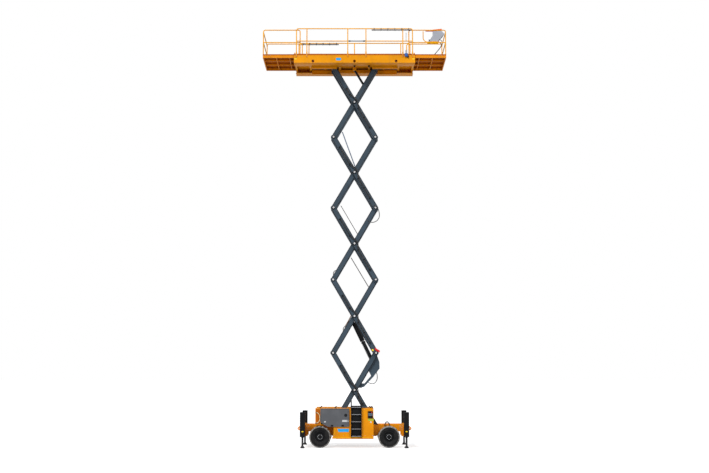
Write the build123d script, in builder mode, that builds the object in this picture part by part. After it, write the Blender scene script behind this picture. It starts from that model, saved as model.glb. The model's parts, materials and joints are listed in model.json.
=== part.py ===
"""Rough-terrain scissor lift, raised, with its stabilisers down and both deck extensions out.

Millimetres. +X is the steered end, -Y the ladder side, +Z up. The origin is on the ground,
under the middle of the machine. Arms that lean like "/" seen from the ladder side are the
inner frames, and those that lean like "\\" are the outer frames.
"""
from build123d import *
from math import asin, cos, degrees, radians, sin, sqrt
import os

os.makedirs("parts", exist_ok=True)


def save(builder, name):
    """Label a finished piece and write it as its own STEP file."""
    builder.part.label = name
    export_step(builder.part, f"parts/{name}.step")


# ---------------------------------------------------------------- arm stack: driving sizes
levels = 5
arm_length = 3335.0          # pin to pin
arm_angle = 59.7             # above the ground, raised
arm_depth = 200.0            # of the rectangular tube, across the arm
arm_width = 90.0             # of the tube, side to side
arm_overhang = 95.0          # of a tube's end past its pin
arm_corner = 45.0            # cut off each corner of a tube's end
base_pin_z = 745.0           # height of the lowest pins
inner_face = 150.0           # from the middle plane to an inner frame's inside
arm_gap = 15.0               # between an inner and an outer frame's tubes
shaft_r = 38.0
shaft_fit = 0.06             # radial clearance of a shaft in its bore
boss_r = 72.0                # of the ring welded round each bore
boss_proud = 4.0
head_r = 52.0                # of the keeper disc on a shaft's end
head_proud = 16.0
cross_tube_r = 42.0
roller_r = 62.0
roller_width = 58.0
roller_gap = 12.0            # between an outer frame's keeper and a roller

rise = arm_length * sin(radians(arm_angle))
span = arm_length * cos(radians(arm_angle))
top_pin_z = base_pin_z + levels * rise
inner_outside = inner_face + arm_width
outer_face = inner_outside + arm_gap
outer_outside = outer_face + arm_width
head_outside = outer_outside + head_proud
roller_inside = head_outside + roller_gap
roller_outside = roller_inside + roller_width

# ---------------------------------------------------------------- tracks the rollers run in
track_gap = 1.0              # over and under a roller
track_wall = 14.0
track_side_gap = 6.0         # from a roller's side to the web
track_web = 15.0
folded_angle = 4.0
folded_reach = arm_length * cos(radians(folded_angle)) / 2
track_near = span / 2 - 1.9 * roller_r
track_far = folded_reach + 1.3 * roller_r
track_face = roller_outside + track_side_gap
track_half = roller_r + track_gap

# ---------------------------------------------------------------- centring links
link_length = arm_length / 4
link_depth = 78.0
link_width = 96.0
link_pin_r = 30.0
link_eye_r = 55.0
ear_gap = 6.0                # each side of a link's eye
ear_width = 22.0

# ---------------------------------------------------------------- lift cylinder and its cradle
cylinder_foot = (-550.0, -340.0)     # from the upper pin of the lowest inner frame, along and across
cylinder_eye = (-160.0, 0.0)         # from the middle pin of the second inner frame
barrel_r = 76.0
barrel_length = 1215.0               # from the foot's pin to the gland's face
rod_r = 54.0
cylinder_pin_r = 34.0
cylinder_eye_r = 78.0
rod_eye_half = 47.0                  # half the width of the rod's eye
cradle_face = 110.0                  # from the middle plane to a cradle plate
lug_face = 66.0
lug_width = 20.0

# ---------------------------------------------------------------- chassis
rail_width = 60.0
rail_top = 860.0
rail_bottom = 600.0
rail_low = 420.0                     # between the wheels
rail_low_half = 850.0
rail_half = 2082.0
end_beam_depth = 190.0
end_deep_half = 1810.0               # from here outwards the rails are deep again
wheel_base = 2640.0
tyre_r = 415.0
tyre_width = 270.0
wheel_outside = 1020.0
king_pin_offset = 80.0               # from the tyre's inside to the king pin
leg_x = 1985.0
leg_y = 1050.0
housing_x = 200.0
housing_y = 130.0

tie_down_x = 2150.0
tie_down_y = 300.0
tie_down_z = 700.0
tie_down_hole_r = 32.0
tie_down_plate = 25.0

rail_face = track_face + track_web
rail_outside = track_face + rail_width
wheel_x = wheel_base / 2
wheel_y = wheel_outside - tyre_width / 2
king_pin_y = wheel_outside - tyre_width - king_pin_offset

# ---------------------------------------------------------------- deck
deck_half = 2426.0
deck_half_width = 967.0
side_beam_width = 40.0
side_beam_bottom = top_pin_z + 12.0
side_beam_depth = 372.0
deck_cross_bottom = top_pin_z + 110.0
main_floor_z = side_beam_bottom + 198.0
floor_sheet = 10.0
rail_tube_r = 20.0
rail_bend = 80.0
guard_height = 1043.0
guard_mid = 530.0
extension_out = 3679.0
extension_overlap = 350.0
extension_depth = 155.0
extension_gap = 12.0
extension_travel = 1200.0
side_beam_top = side_beam_bottom + side_beam_depth
guard_top = side_beam_top + guard_height


def pin_z(level):
    """Height of the middle pin of a level, counted from 1."""
    return base_pin_z + (level - 0.5) * rise


def arm_plane(level, lean, y=0.0):
    """Plane across the machine: x runs up an arm that leans to +X (1) or to -X (-1)."""
    return Plane(
        origin=(0, y, pin_z(level)),
        x_dir=(cos(radians(arm_angle)), 0, lean * sin(radians(arm_angle))),
        z_dir=(0, -1, 0),
    )


def both_sides(inside, outside, sides=(1, -1)):
    """Where plates start, one on each of these sides, and their thickness towards -Y."""
    return [outside if side > 0 else -inside for side in sides], outside - inside


def arm_pair(plane_of, inside, outside, bores):
    """A pair of tubes with cut corners, less the bores at these places along them."""
    heights, width = both_sides(inside, outside)
    for y in heights:
        with BuildSketch(plane_of(y)) as side_view:
            Rectangle(arm_length + 2 * arm_overhang, arm_depth)
            chamfer(side_view.vertices(), arm_corner)
            with Locations(*[(x, 0) for x in bores]) if bores else Locations((0, 0)):
                if bores:
                    Circle(shaft_r + shaft_fit, mode=Mode.SUBTRACT)
        extrude(to_extrude=side_view.sketch, amount=width)


def across(plane_of, radius, places, inside, outside):
    """Round bars across the machine, on both sides, from inside to outside."""
    heights, width = both_sides(inside, outside)
    for y in heights:
        with BuildSketch(plane_of(y)) as discs:
            with Locations(*places):
                Circle(radius)
        extrude(to_extrude=discs.sketch, amount=width)


def full_bar(plane_of, radius, places, outside):
    """Round bars that run right across the machine."""
    with BuildSketch(plane_of(outside)) as discs:
        with Locations(*places):
            Circle(radius)
    extrude(to_extrude=discs.sketch, amount=2 * outside)


# ---------------------------------------------------------------- inner frames, "/"
arm_end = arm_length / 2
for level in range(1, levels + 1):
    with BuildPart() as inner:
        own_shaft = {1: -arm_end, levels: arm_end}.get(level)
        bores = [x for x in (-arm_end, 0.0, arm_end) if x != own_shaft]
        plane_of = lambda y: arm_plane(level, 1, y)
        arm_pair(plane_of, inner_face, inner_outside, bores)
        tubes = {1: (-1240.0,), levels: (-1180.0, 1240.0)}.get(level, (-1180.0, -510.0, 480.0, 1180.0))
        full_bar(plane_of, cross_tube_r, [(x, 0) for x in tubes], inner_face)
        if level in (1, levels):
            lean_end = -1 if level == 1 else 1
            full_bar(plane_of, link_pin_r, [(lean_end * arm_length / 4, 0)], inner_face)
            full_bar(plane_of, shaft_r, [(own_shaft, 0)], roller_outside)
            across(plane_of, roller_r, [(own_shaft, 0)], roller_inside, roller_outside)
        if level == 1:
            k = arm_end
            foot_x, foot_y = k + cylinder_foot[0], cylinder_foot[1]
            outline = [
                (k - 60, -60), (k - 75, -105), (k - 240, -300), (k - 450, -430), (k - 850, -385),
                (k - 1380, -265), (k - 1530, -95), (k - 1530, -60),
            ]
            window = [(k - 760, -120), (k - 860, -290), (k - 1250, -215), (k - 1310, -120)]
            plates, plate = both_sides(cradle_face, inner_face)
            for y in plates:
                with BuildSketch(plane_of(y)):
                    Polygon(*outline, align=None)
                    Polygon(*window, align=None, mode=Mode.SUBTRACT)
                extrude(amount=plate)
            full_bar(plane_of, cylinder_pin_r, [(foot_x, foot_y)], inner_face)
            full_bar(plane_of, cross_tube_r, [(k - 1440, -160)], inner_face)
        if level == 2:
            eye_x, eye_y = cylinder_eye
            plates, plate = both_sides(lug_face, lug_face + lug_width)
            for y in plates:
                with BuildSketch(plane_of(y)):
                    with BuildLine():
                        Polyline((-510, 60), (eye_x, eye_y + 70), (eye_x, eye_y - 70), (-510, -60), close=True)
                    make_face()
                    with Locations((eye_x, eye_y)):
                        Circle(70)
                extrude(amount=plate)
    save(inner, f"inner_frame_{level}")

# ---------------------------------------------------------------- outer frames, "\"
for level in range(1, levels + 1):
    with BuildPart() as outer:
        plane_of = lambda y: arm_plane(level, -1, y)
        arm_pair(plane_of, outer_face, outer_outside, [])
        full_bar(plane_of, shaft_r, [(-arm_end, 0), (arm_end, 0)], outer_outside)
        across(plane_of, shaft_r, [(0, 0)], inner_face, outer_outside)
        across(plane_of, head_r, [(-arm_end, 0), (0, 0), (arm_end, 0)], outer_outside, head_outside)
        roller_end = {1: arm_end, levels: -arm_end}.get(level)
        if roller_end is not None:
            across(plane_of, shaft_r, [(roller_end, 0)], outer_outside, roller_outside)
            across(plane_of, roller_r, [(roller_end, 0)], roller_inside, roller_outside)
    save(outer, f"outer_frame_{level}")

# ---------------------------------------------------------------- centring links
for name, level, pivot_z, lean in (("lower_link", 1, base_pin_z, -1), ("upper_link", levels, top_pin_z, 1)):
    pivot_plane = Plane(
        origin=(0, link_width / 2, pivot_z),
        x_dir=(lean * cos(radians(arm_angle)), 0, -lean * sin(radians(arm_angle))),
        z_dir=(0, -1, 0),
    )
    with BuildPart() as link:
        with BuildSketch(pivot_plane):
            with Locations((link_length / 2, 0)):
                Rectangle(link_length, link_depth)
            with Locations((0, 0), (link_length, 0)):
                Circle(link_eye_r)
            with Locations((0, 0), (link_length, 0)):
                Circle(link_pin_r + shaft_fit, mode=Mode.SUBTRACT)
        extrude(amount=link_width)
    save(link, name)

# ---------------------------------------------------------------- lift cylinder
foot_plane = arm_plane(1, 1)
foot = foot_plane.from_local_coords(Vector(arm_end + cylinder_foot[0], cylinder_foot[1], 0))
eye = arm_plane(2, 1).from_local_coords(Vector(cylinder_eye[0], cylinder_eye[1], 0))
stroke_axis = (eye - foot).normalized()
extended = (eye - foot).length
barrel_plane = Plane(origin=foot, x_dir=(0, 1, 0), z_dir=stroke_axis)
side_plane = Plane(origin=foot + Vector(0, cylinder_eye_r * 0.6, 0), x_dir=stroke_axis, z_dir=(0, -1, 0))
with BuildPart() as barrel:
    with BuildSketch(barrel_plane.offset(60)):
        Circle(barrel_r)
    extrude(amount=barrel_length - 60)
    with BuildSketch(barrel_plane.offset(60 + 20)):
        Circle(rod_r + 2)
    extrude(amount=barrel_length - 60 - 20, mode=Mode.SUBTRACT)
    with BuildSketch(side_plane):
        Circle(cylinder_eye_r)
        Circle(cylinder_pin_r + shaft_fit, mode=Mode.SUBTRACT)
    extrude(amount=cylinder_eye_r * 1.2)
save(barrel, "lift_barrel")
with BuildPart() as rod:
    with BuildSketch(barrel_plane.offset(extended - 1120)):
        Circle(rod_r)
    extrude(amount=1120 - 40)
    with BuildSketch(Plane(origin=eye + Vector(0, rod_eye_half, 0), x_dir=stroke_axis, z_dir=(0, -1, 0))):
        Circle(cylinder_eye_r)
    extrude(amount=2 * rod_eye_half)
save(rod, "lift_rod")

# ---------------------------------------------------------------- chassis frame
upright = lambda y: Plane(origin=(0, y, 0), x_dir=(1, 0, 0), z_dir=(0, -1, 0))


def track_channels(middle_z, sides=(1, -1)):
    """Channels at both ends, open towards the middle plane, for the rollers."""
    heights, depth = both_sides(roller_inside - 4, track_face, sides)
    webs, web = both_sides(track_face, track_face + track_web, sides)
    for end in (-1, 1):
        x = end * (track_near + track_far) / 2
        for y in heights:
            with BuildSketch(upright(y)) as flanges:
                for up in (-1, 1):
                    with Locations((x, middle_z + up * (track_half + track_wall / 2))):
                        Rectangle(track_far - track_near, track_wall)
            extrude(to_extrude=flanges.sketch, amount=depth)
        for y in webs:
            with BuildSketch(upright(y)) as web_view:
                with Locations((x, middle_z)):
                    Rectangle(track_far - track_near, 2 * track_half + 2 * track_wall)
            extrude(to_extrude=web_view.sketch, amount=web)


rail_end = rail_half - end_beam_depth
for side, name in ((-1, "near_chassis_rail"), (1, "far_chassis_rail")):
    with BuildPart() as rail:
        heights, width = both_sides(track_face, rail_outside, (side,))
        with BuildSketch(upright(heights[0])):
            with BuildLine():
                Polyline(
                    (-rail_end, rail_top), (rail_end, rail_top), (rail_end, rail_low),
                    (end_deep_half, rail_low), (end_deep_half, rail_bottom),
                    (rail_low_half + 120, rail_bottom), (rail_low_half, rail_low),
                    (-rail_low_half, rail_low), (-rail_low_half - 120, rail_bottom),
                    (-end_deep_half, rail_bottom), (-end_deep_half, rail_low),
                    (-rail_end, rail_low), close=True,
                )
            make_face()
        extrude(amount=width)
        track_channels(base_pin_z, (side,))
    save(rail, name)
with BuildPart() as end_beams:
    for end in (-1, 1):
        # their ends carry the stabiliser housings
        with BuildSketch(Plane.XY.offset(rail_low)):
            with Locations((end * (rail_half - end_beam_depth / 2), 0)):
                Rectangle(end_beam_depth, 2 * (leg_y - housing_y / 2))
        extrude(amount=rail_top - rail_low)
        for y in (-tie_down_y + tie_down_plate / 2, tie_down_y + tie_down_plate / 2):
            with BuildSketch(upright(y)):
                with Locations((end * tie_down_x, tie_down_z)):
                    Circle(tie_down_hole_r * 2)
                with Locations((end * (rail_half + tie_down_x) / 2, tie_down_z)):
                    Rectangle(tie_down_x - rail_half, tie_down_hole_r * 4)
                with Locations((end * tie_down_x, tie_down_z)):
                    Circle(tie_down_hole_r, mode=Mode.SUBTRACT)
            extrude(amount=tie_down_plate)
save(end_beams, "end_beams")
with BuildPart() as cross_members:
    for x in (-600, 0, 600):
        with BuildSketch(Plane.XY.offset(rail_low)):
            with Locations((x, 0)):
                Rectangle(140, 2 * track_face)
        extrude(amount=80)
    ears, ear = both_sides(link_width / 2 + ear_gap, link_width / 2 + ear_gap + ear_width)
    for y in ears:
        with BuildSketch(upright(y)):
            with BuildLine():
                Polyline((-70, 500), (70, 500), (60, base_pin_z), (-60, base_pin_z), close=True)
            make_face()
            with Locations((0, base_pin_z)):
                Circle(60)
        extrude(amount=ear)
    full_bar(upright, link_pin_r, [(0, base_pin_z)], link_width / 2 + ear_gap + ear_width)
save(cross_members, "cross_members")

# ---------------------------------------------------------------- side cabinets
cabinet_inside = rail_outside
cabinet_outside = 1000.0
cabinet_top = 1500.0
cabinet_left = -1500.0
cabinet_right = 727.0
sill_z = 340.0
bay = (-1292.0, -208.0, 880.0, 1482.0)      # x from, x to, z from, z to
for side, name in ((-1, "near_cabinet"), (1, "far_cabinet")):
    with BuildPart() as cabinet:
        y = -cabinet_inside if side < 0 else cabinet_outside
        with BuildSketch(upright(y)):
            with BuildLine():
                Polyline(
                    (cabinet_left, 862), (cabinet_left, cabinet_top), (cabinet_right, cabinet_top),
                    (cabinet_right, sill_z), (-700, sill_z), (-800, 440), (-800, 862), close=True,
                )
            make_face()
        extrude(amount=cabinet_outside - cabinet_inside)
        with BuildSketch(upright(-cabinet_inside - 40 if side < 0 else cabinet_outside)):
            with Locations(((bay[0] + bay[1]) / 2, (bay[2] + bay[3]) / 2)):
                Rectangle(bay[1] - bay[0], bay[3] - bay[2])
        extrude(amount=cabinet_outside - cabinet_inside - 40, mode=Mode.SUBTRACT)
    save(cabinet, name)
for side, name in ((-1, "oil_tank"), (1, "engine_block")):
    with BuildPart() as block:
        with BuildSketch(Plane.XY.offset(bay[2])):
            with Locations(((bay[0] + bay[1]) / 2, side * (cabinet_inside + 40 + 150))):
                Rectangle(780, 300)
        extrude(amount=480)
    save(block, name)

# ---------------------------------------------------------------- hinged covers
cover_x = (-1307.0, -193.0)
cover_z = (800.0, 1490.0)
cover_thick = 34.0
cover_stand = 6.0
for side, name in ((-1, "near_cover"), (1, "far_cover")):
    with BuildPart() as cover:
        y = -(cabinet_outside + cover_stand) if side < 0 else cabinet_outside + cover_stand + cover_thick
        with BuildSketch(upright(y)):
            with Locations((sum(cover_x) / 2, sum(cover_z) / 2)):
                Rectangle(cover_x[1] - cover_x[0], cover_z[1] - cover_z[0])
        extrude(amount=cover_thick)
    save(cover, name)

# ---------------------------------------------------------------- ladder and ground controls
ladder_x = (-137.0, 273.0)
ladder_y = cabinet_outside
ladder_tube_r = 18.0
rungs = (400.0, 675.0, 950.0, 1225.0, 1500.0)
with BuildPart() as ladder:
    with BuildSketch(Plane.XY.offset(380)):
        for x in ladder_x:
            with Locations((x + (ladder_tube_r if x < 0 else -ladder_tube_r), -ladder_y - 70)):
                Circle(ladder_tube_r)
    extrude(amount=1390)
    for z in rungs:
        with BuildSketch(Plane(origin=(ladder_x[0] + 20, 0, 0), x_dir=(0, 1, 0), z_dir=(1, 0, 0))):
            with Locations((-ladder_y - 70, z)):
                Circle(14)
        extrude(amount=ladder_x[1] - ladder_x[0] - 40)
    for z in (470.0, 1440.0):
        with BuildSketch(Plane.XY.offset(z)):
            for x in ladder_x:
                with Locations((x + (ladder_tube_r if x < 0 else -ladder_tube_r), -ladder_y - 35)):
                    Rectangle(20, 70)
        extrude(amount=30)
save(ladder, "ladder")
with BuildPart() as control:
    with BuildSketch(upright(-cabinet_outside)):
        with Locations((605, 1255)):
            Rectangle(190, 270)
    extrude(amount=30)
save(control, "ground_control_box")

# ---------------------------------------------------------------- stabilisers
housing_z = (420.0, 1350.0)
leg_r = 36.0
foot_r = 85.0
with BuildPart() as housings:
    with BuildSketch(Plane.XY.offset(housing_z[0])):
        with GridLocations(2 * leg_x, 2 * leg_y, 2, 2):
            Rectangle(housing_x, housing_y)
            Circle(leg_r + 3, mode=Mode.SUBTRACT)
    extrude(amount=housing_z[1] - housing_z[0])
    with BuildSketch(Plane.XY.offset(housing_z[1] - 20)):
        with GridLocations(2 * leg_x, 2 * leg_y, 2, 2):
            Rectangle(housing_x, housing_y)
    extrude(amount=20)
save(housings, "stabiliser_housings")
for x_name, x in (("front", leg_x), ("rear", -leg_x)):
    for y_name, y in (("near", -leg_y), ("far", leg_y)):
        with BuildPart() as leg:
            with BuildSketch(Plane.XZ):
                with BuildLine():
                    Polyline((0, 0), (foot_r, 0), (foot_r, 22), (leg_r, 95), (leg_r, 980), (0, 980), close=True)
                make_face()
            revolve(axis=Axis.Z)
        leg.part = leg.part.moved(Location((x, y, 0)))
        save(leg, f"leg_{x_name}_{y_name}")

# ---------------------------------------------------------------- axles, knuckles, wheels
hub_r = 60.0
for name, x, half in (("front_axle", wheel_x, king_pin_y), ("rear_axle", -wheel_x, wheel_y + 40)):
    with BuildPart() as axle:
        with BuildSketch(Plane(origin=(x, half if name == "rear_axle" else half - 70, tyre_r), x_dir=(1, 0, 0), z_dir=(0, -1, 0))):
            Circle(hub_r)
        extrude(amount=2 * (half if name == "rear_axle" else half - 70))
        for side in (-1, 1):
            with BuildSketch(Plane.XY.offset(tyre_r)):
                with Locations((x, side * (rail_outside - 60))):
                    Rectangle(150, 100)
            extrude(amount=rail_bottom - tyre_r)
        if name == "front_axle":
            for side in (-1, 1):
                with BuildSketch(Plane.XY.offset(tyre_r - 125)):
                    with Locations((x, side * (king_pin_y - 45))):
                        Rectangle(110, 90)
                    with Locations((x, side * king_pin_y)):
                        Circle(55)
                extrude(amount=250)
                with BuildSketch(Plane.XY.offset(tyre_r - 85)):
                    with Locations((x, side * king_pin_y)):
                        Circle(78)
                extrude(amount=170, mode=Mode.SUBTRACT)
                with BuildSketch(Plane.XY.offset(tyre_r - 125)):
                    with Locations((x, side * king_pin_y)):
                        Circle(30 + shaft_fit)
                extrude(amount=250, mode=Mode.SUBTRACT)
    save(axle, name)
for side, name in ((-1, "knuckle_near"), (1, "knuckle_far")):
    with BuildPart() as knuckle:
        with BuildSketch(Plane.XY.offset(tyre_r - 125)):
            with Locations((wheel_x, side * king_pin_y)):
                Circle(30)
        extrude(amount=250)
        with BuildSketch(Plane.XY.offset(tyre_r - 80)):
            with Locations((wheel_x, side * king_pin_y)):
                Circle(70)
        extrude(amount=160)
        with BuildSketch(Plane(origin=(wheel_x, side * king_pin_y, tyre_r), x_dir=(1, 0, 0), z_dir=(0, side, 0))):
            Circle(hub_r)
        extrude(amount=wheel_y + 40 - king_pin_y)
    save(knuckle, name)

lug_depth = 26.0
lug_count = 16
carcass_r = tyre_r - lug_depth
bead_r = 208.0


def tyre_section(radius, half):
    """Half of a tyre's outline, from bead to bead over a crown of this radius."""
    with BuildLine() as outline:
        Polyline(
            (bead_r, -half * 0.72), (bead_r + 70, -half), (radius - 60, -half), (radius - 12, -half * 0.82),
            (radius, -half * 0.5), (radius, half * 0.5), (radius - 12, half * 0.82), (radius - 60, half),
            (bead_r + 70, half), (bead_r, half * 0.72), close=True,
        )
    make_face(outline.edges())


with BuildPart() as tyre:
    with BuildSketch(Plane.XZ):
        tyre_section(carcass_r, tyre_width / 2 - 6)
    revolve(axis=Axis.Z)
    with BuildPart(mode=Mode.PRIVATE) as lug_ring:
        for turn, flip in ((0.0, 1), (0.5, -1)):
            for i in range(lug_count):
                angle = 360 * (i + turn) / lug_count
                with BuildSketch(Plane(origin=(0, 0, 0), x_dir=(-sin(radians(angle)), cos(radians(angle)), 0),
                                       z_dir=(cos(radians(angle)), sin(radians(angle)), 0)).offset(carcass_r - 62)):
                    Polygon((-22, 4 * flip), (22, 4 * flip), (80, flip * tyre_width / 2), (30, flip * tyre_width / 2), align=None)
                extrude(amount=62 + lug_depth + 8)
        with BuildSketch(Plane.XZ):
            tyre_section(tyre_r, tyre_width / 2)
        revolve(axis=Axis.Z, mode=Mode.INTERSECT)
    add(lug_ring.part)
with BuildPart() as rim:
    with BuildSketch(Plane.XZ):
        with BuildLine():
            Polyline(
                (hub_r + shaft_fit, -30), (110, -30), (110, 10), (165, 10), (185, -70), (bead_r - 22, -92), (bead_r, -98),
                (bead_r, 98), (bead_r - 18, 92), (bead_r - 18, 40), (120, 40), (110, 92), (hub_r + shaft_fit, 92), close=True,
            )
        make_face()
    revolve(axis=Axis.Z)
for x_name, x in (("front", wheel_x), ("rear", -wheel_x)):
    for y_name, side in (("near", -1), ("far", 1)):
        place = Plane(origin=(x, side * wheel_y, tyre_r), x_dir=(1, 0, 0), z_dir=(0, side, 0)).location
        for piece, source in (("tyre", tyre), ("rim", rim)):
            with BuildPart() as wheel_piece:
                add(source.part.moved(place))
            save(wheel_piece, f"{piece}_{x_name}_{y_name}")

# ---------------------------------------------------------------- deck frame
end_x = deck_half
with BuildPart() as deck:
    heights, width = both_sides(deck_half_width - side_beam_width, deck_half_width)
    for y in heights:
        with BuildSketch(upright(y)):
            with Locations((0, side_beam_bottom + side_beam_depth / 2)):
                Rectangle(2 * deck_half, side_beam_depth)
            with Locations((-1664, side_beam_bottom + 70), (0, side_beam_bottom + 70), (1664, side_beam_bottom + 70)):
                Circle(48, mode=Mode.SUBTRACT)
        extrude(amount=width)
    for x in (-2380, -1800, -1200, -600, 0, 600, 1200, 1800, 2380):
        with BuildSketch(Plane.XY.offset(deck_cross_bottom)):
            with Locations((x, 0)):
                Rectangle(80 if x else 150, 2 * (deck_half_width - side_beam_width))
        extrude(amount=main_floor_z - floor_sheet - deck_cross_bottom)
    track_channels(top_pin_z)
    webs, web = both_sides(track_face, track_face + track_web)
    for y in webs:
        with BuildSketch(upright(y)):
            with Locations((0, (top_pin_z + deck_cross_bottom) / 2 + 5)):
                Rectangle(2 * track_far, deck_cross_bottom - top_pin_z + 20)
        extrude(amount=web)
    for y in ears:
        with BuildSketch(upright(y)):
            with BuildLine():
                Polyline((-70, deck_cross_bottom), (70, deck_cross_bottom), (60, top_pin_z), (-60, top_pin_z), close=True)
            make_face()
            with Locations((0, top_pin_z)):
                Circle(60)
        extrude(amount=ear)
    full_bar(upright, link_pin_r, [(0, top_pin_z)], link_width / 2 + ear_gap + ear_width)
save(deck, "deck_frame")
with BuildPart() as floor:
    with BuildSketch(Plane.XY.offset(main_floor_z - floor_sheet)):
        Rectangle(2 * deck_half, 2 * (deck_half_width - side_beam_width))
    extrude(amount=floor_sheet)
save(floor, "deck_floor")

# ---------------------------------------------------------------- guard rails
rail_line_y = deck_half_width - 22
posts = (-2330.0, -1910.0, -270.0, 460.0, 1940.0, 2330.0)
entry = (-270.0, 460.0)


def tube_run(start, finish):
    """A straight round tube between two points."""
    start, finish = Vector(*start), Vector(*finish)
    run = finish - start
    hint = (0, 1, 0) if abs(run.Y) < 1 else (1, 0, 0)
    with BuildSketch(Plane(origin=start, x_dir=hint, z_dir=run.normalized())) as end_view:
        Circle(rail_tube_r)
    extrude(to_extrude=end_view.sketch, amount=run.length)


def bent_tube(*corners):
    """A round tube along straight runs with a bend of one radius at each corner."""
    with BuildLine(mode=Mode.PRIVATE) as path:
        FilletPolyline(*corners, radius=rail_bend)
    start = Vector(*corners[0])
    with BuildSketch(Plane(origin=start, z_dir=(Vector(*corners[1]) - start).normalized())) as end_view:
        Circle(rail_tube_r)
    sweep(sections=end_view.sketch, path=path.wires()[0])


with BuildPart() as guard:
    for side in (-1, 1):
        y = side * rail_line_y
        a, b = posts[0], posts[-1]
        bent_tube((a, y, side_beam_top), (a, y, guard_top), (b, y, guard_top), (b, y, side_beam_top))
        for x in posts[1:-1] if side < 0 else (posts[1], 0.0, posts[-2]):
            tube_run((x, y, side_beam_top), (x, y, guard_top))
        mid = side_beam_top + guard_mid
        for a, b in ((posts[0], entry[0]), (entry[1], posts[-1])) if side < 0 else ((posts[0], posts[-1]),):
            tube_run((a, y, mid), (b, y, mid))
save(guard, "guard_rails")
with BuildPart() as entry_bar:
    with BuildSketch(Plane(origin=(entry[0] + rail_tube_r + 6, 0, 0), x_dir=(0, 1, 0), z_dir=(1, 0, 0))):
        with Locations((-rail_line_y, side_beam_top + guard_mid)):
            Circle(rail_tube_r)
    extrude(amount=entry[1] - entry[0] - 2 * rail_tube_r - 12)
save(entry_bar, "entry_bar")

# ---------------------------------------------------------------- deck extensions
extension_outside = deck_half_width - side_beam_width - extension_gap
extension_member = 36.0
extension_bottom = side_beam_top - extension_depth
inner_x = deck_half - extension_overlap
extension_length = extension_out - inner_x
extension_middle = (inner_x + extension_out) / 2
with BuildPart() as extension:
    with BuildSketch(Plane.XY.offset(extension_bottom)):
        with Locations((extension_middle, 0)):
            Rectangle(extension_length, 2 * extension_outside)
            Rectangle(
                extension_length - 2 * extension_member,
                2 * (extension_outside - extension_member),
                mode=Mode.SUBTRACT,
            )
    extrude(amount=extension_depth - 5)
    with BuildSketch(Plane.XY.offset(extension_bottom + 40)):
        with Locations((extension_middle, 0)):
            for i in (-1, 1):
                with Locations((i * extension_length / 6, 0)):
                    Rectangle(30, 2 * extension_outside - 20)
                with Locations((0, i * extension_outside / 3)):
                    Rectangle(extension_length - 20, 30)
    extrude(amount=extension_depth - 5 - 40 - floor_sheet)
    with BuildSketch(Plane.XY.offset(side_beam_top - 5 - floor_sheet)):
        with Locations((extension_middle, 0)):
            Rectangle(extension_length - 20, 2 * extension_outside - 20)
    extrude(amount=floor_sheet)
with BuildPart() as extension_rail:
    y_line = extension_outside - extension_member / 2
    top = guard_top - 45
    mid = side_beam_top + guard_mid - 45
    base = side_beam_top - 5
    far_x = extension_out - extension_member / 2
    near_x = inner_x + 110
    for side in (-1, 1):
        y = side * y_line
        bent_tube((near_x, y, base), (near_x, y, top), (far_x, y, top), (far_x, y, base))
        tube_run((near_x, y, mid), (far_x, y, mid))
    for z in (top - rail_bend - 10, mid):
        tube_run((far_x, -y_line, z), (far_x, y_line, z))
for piece, name in ((extension, "extension"), (extension_rail, "extension_rails")):
    save(piece, f"right_{name}")
    piece.part = mirror(piece.part, about=Plane.YZ)
    save(piece, f"left_{name}")
with BuildPart() as console:
    with BuildSketch(Plane(origin=(2890, 0, 0), x_dir=(0, 1, 0), z_dir=(1, 0, 0))):
        with Locations((-(extension_outside - extension_member - 130), side_beam_top + 740)):
            Rectangle(220, 430)
    extrude(amount=700)
save(console, "platform_console")
with BuildPart() as outlet:
    with BuildSketch(Plane.XY.offset(side_beam_bottom + 190)):
        with Locations((2055, -deck_half_width - 40)):
            Rectangle(60, 80)
    extrude(amount=380)
save(outlet, "outlet_box")
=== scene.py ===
"""Looks of the rough-terrain scissor lift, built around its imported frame. Metres."""
import json
from math import cos, pi, radians, sin

import bmesh
import bpy
from mathutils import Matrix, Vector


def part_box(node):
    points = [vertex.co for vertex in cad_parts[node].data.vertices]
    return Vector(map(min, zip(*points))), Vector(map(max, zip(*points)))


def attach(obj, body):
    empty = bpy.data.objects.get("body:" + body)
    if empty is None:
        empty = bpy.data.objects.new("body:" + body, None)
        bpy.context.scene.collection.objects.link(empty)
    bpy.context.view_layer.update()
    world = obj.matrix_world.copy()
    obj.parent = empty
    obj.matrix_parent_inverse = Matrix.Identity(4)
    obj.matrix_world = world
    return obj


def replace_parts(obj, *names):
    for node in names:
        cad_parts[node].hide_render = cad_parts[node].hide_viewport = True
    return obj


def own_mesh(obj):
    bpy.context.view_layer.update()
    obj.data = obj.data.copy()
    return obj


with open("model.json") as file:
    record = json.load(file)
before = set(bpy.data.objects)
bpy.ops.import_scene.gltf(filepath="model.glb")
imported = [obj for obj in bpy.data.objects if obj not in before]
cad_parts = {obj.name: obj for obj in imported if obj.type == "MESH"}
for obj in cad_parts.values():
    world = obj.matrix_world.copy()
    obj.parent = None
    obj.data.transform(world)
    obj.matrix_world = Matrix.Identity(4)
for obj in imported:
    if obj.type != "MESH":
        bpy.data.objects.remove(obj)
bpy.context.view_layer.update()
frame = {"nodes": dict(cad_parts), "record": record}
nodes = frame["nodes"]

# ------------------------------------------------------------------ studio
# A pale floor that runs out to a white sky, one soft sun from behind the camera's left
# side and a fill from the right, all plain and neutral.
scene = bpy.context.scene
scene.view_settings.view_transform = "Standard"


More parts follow.
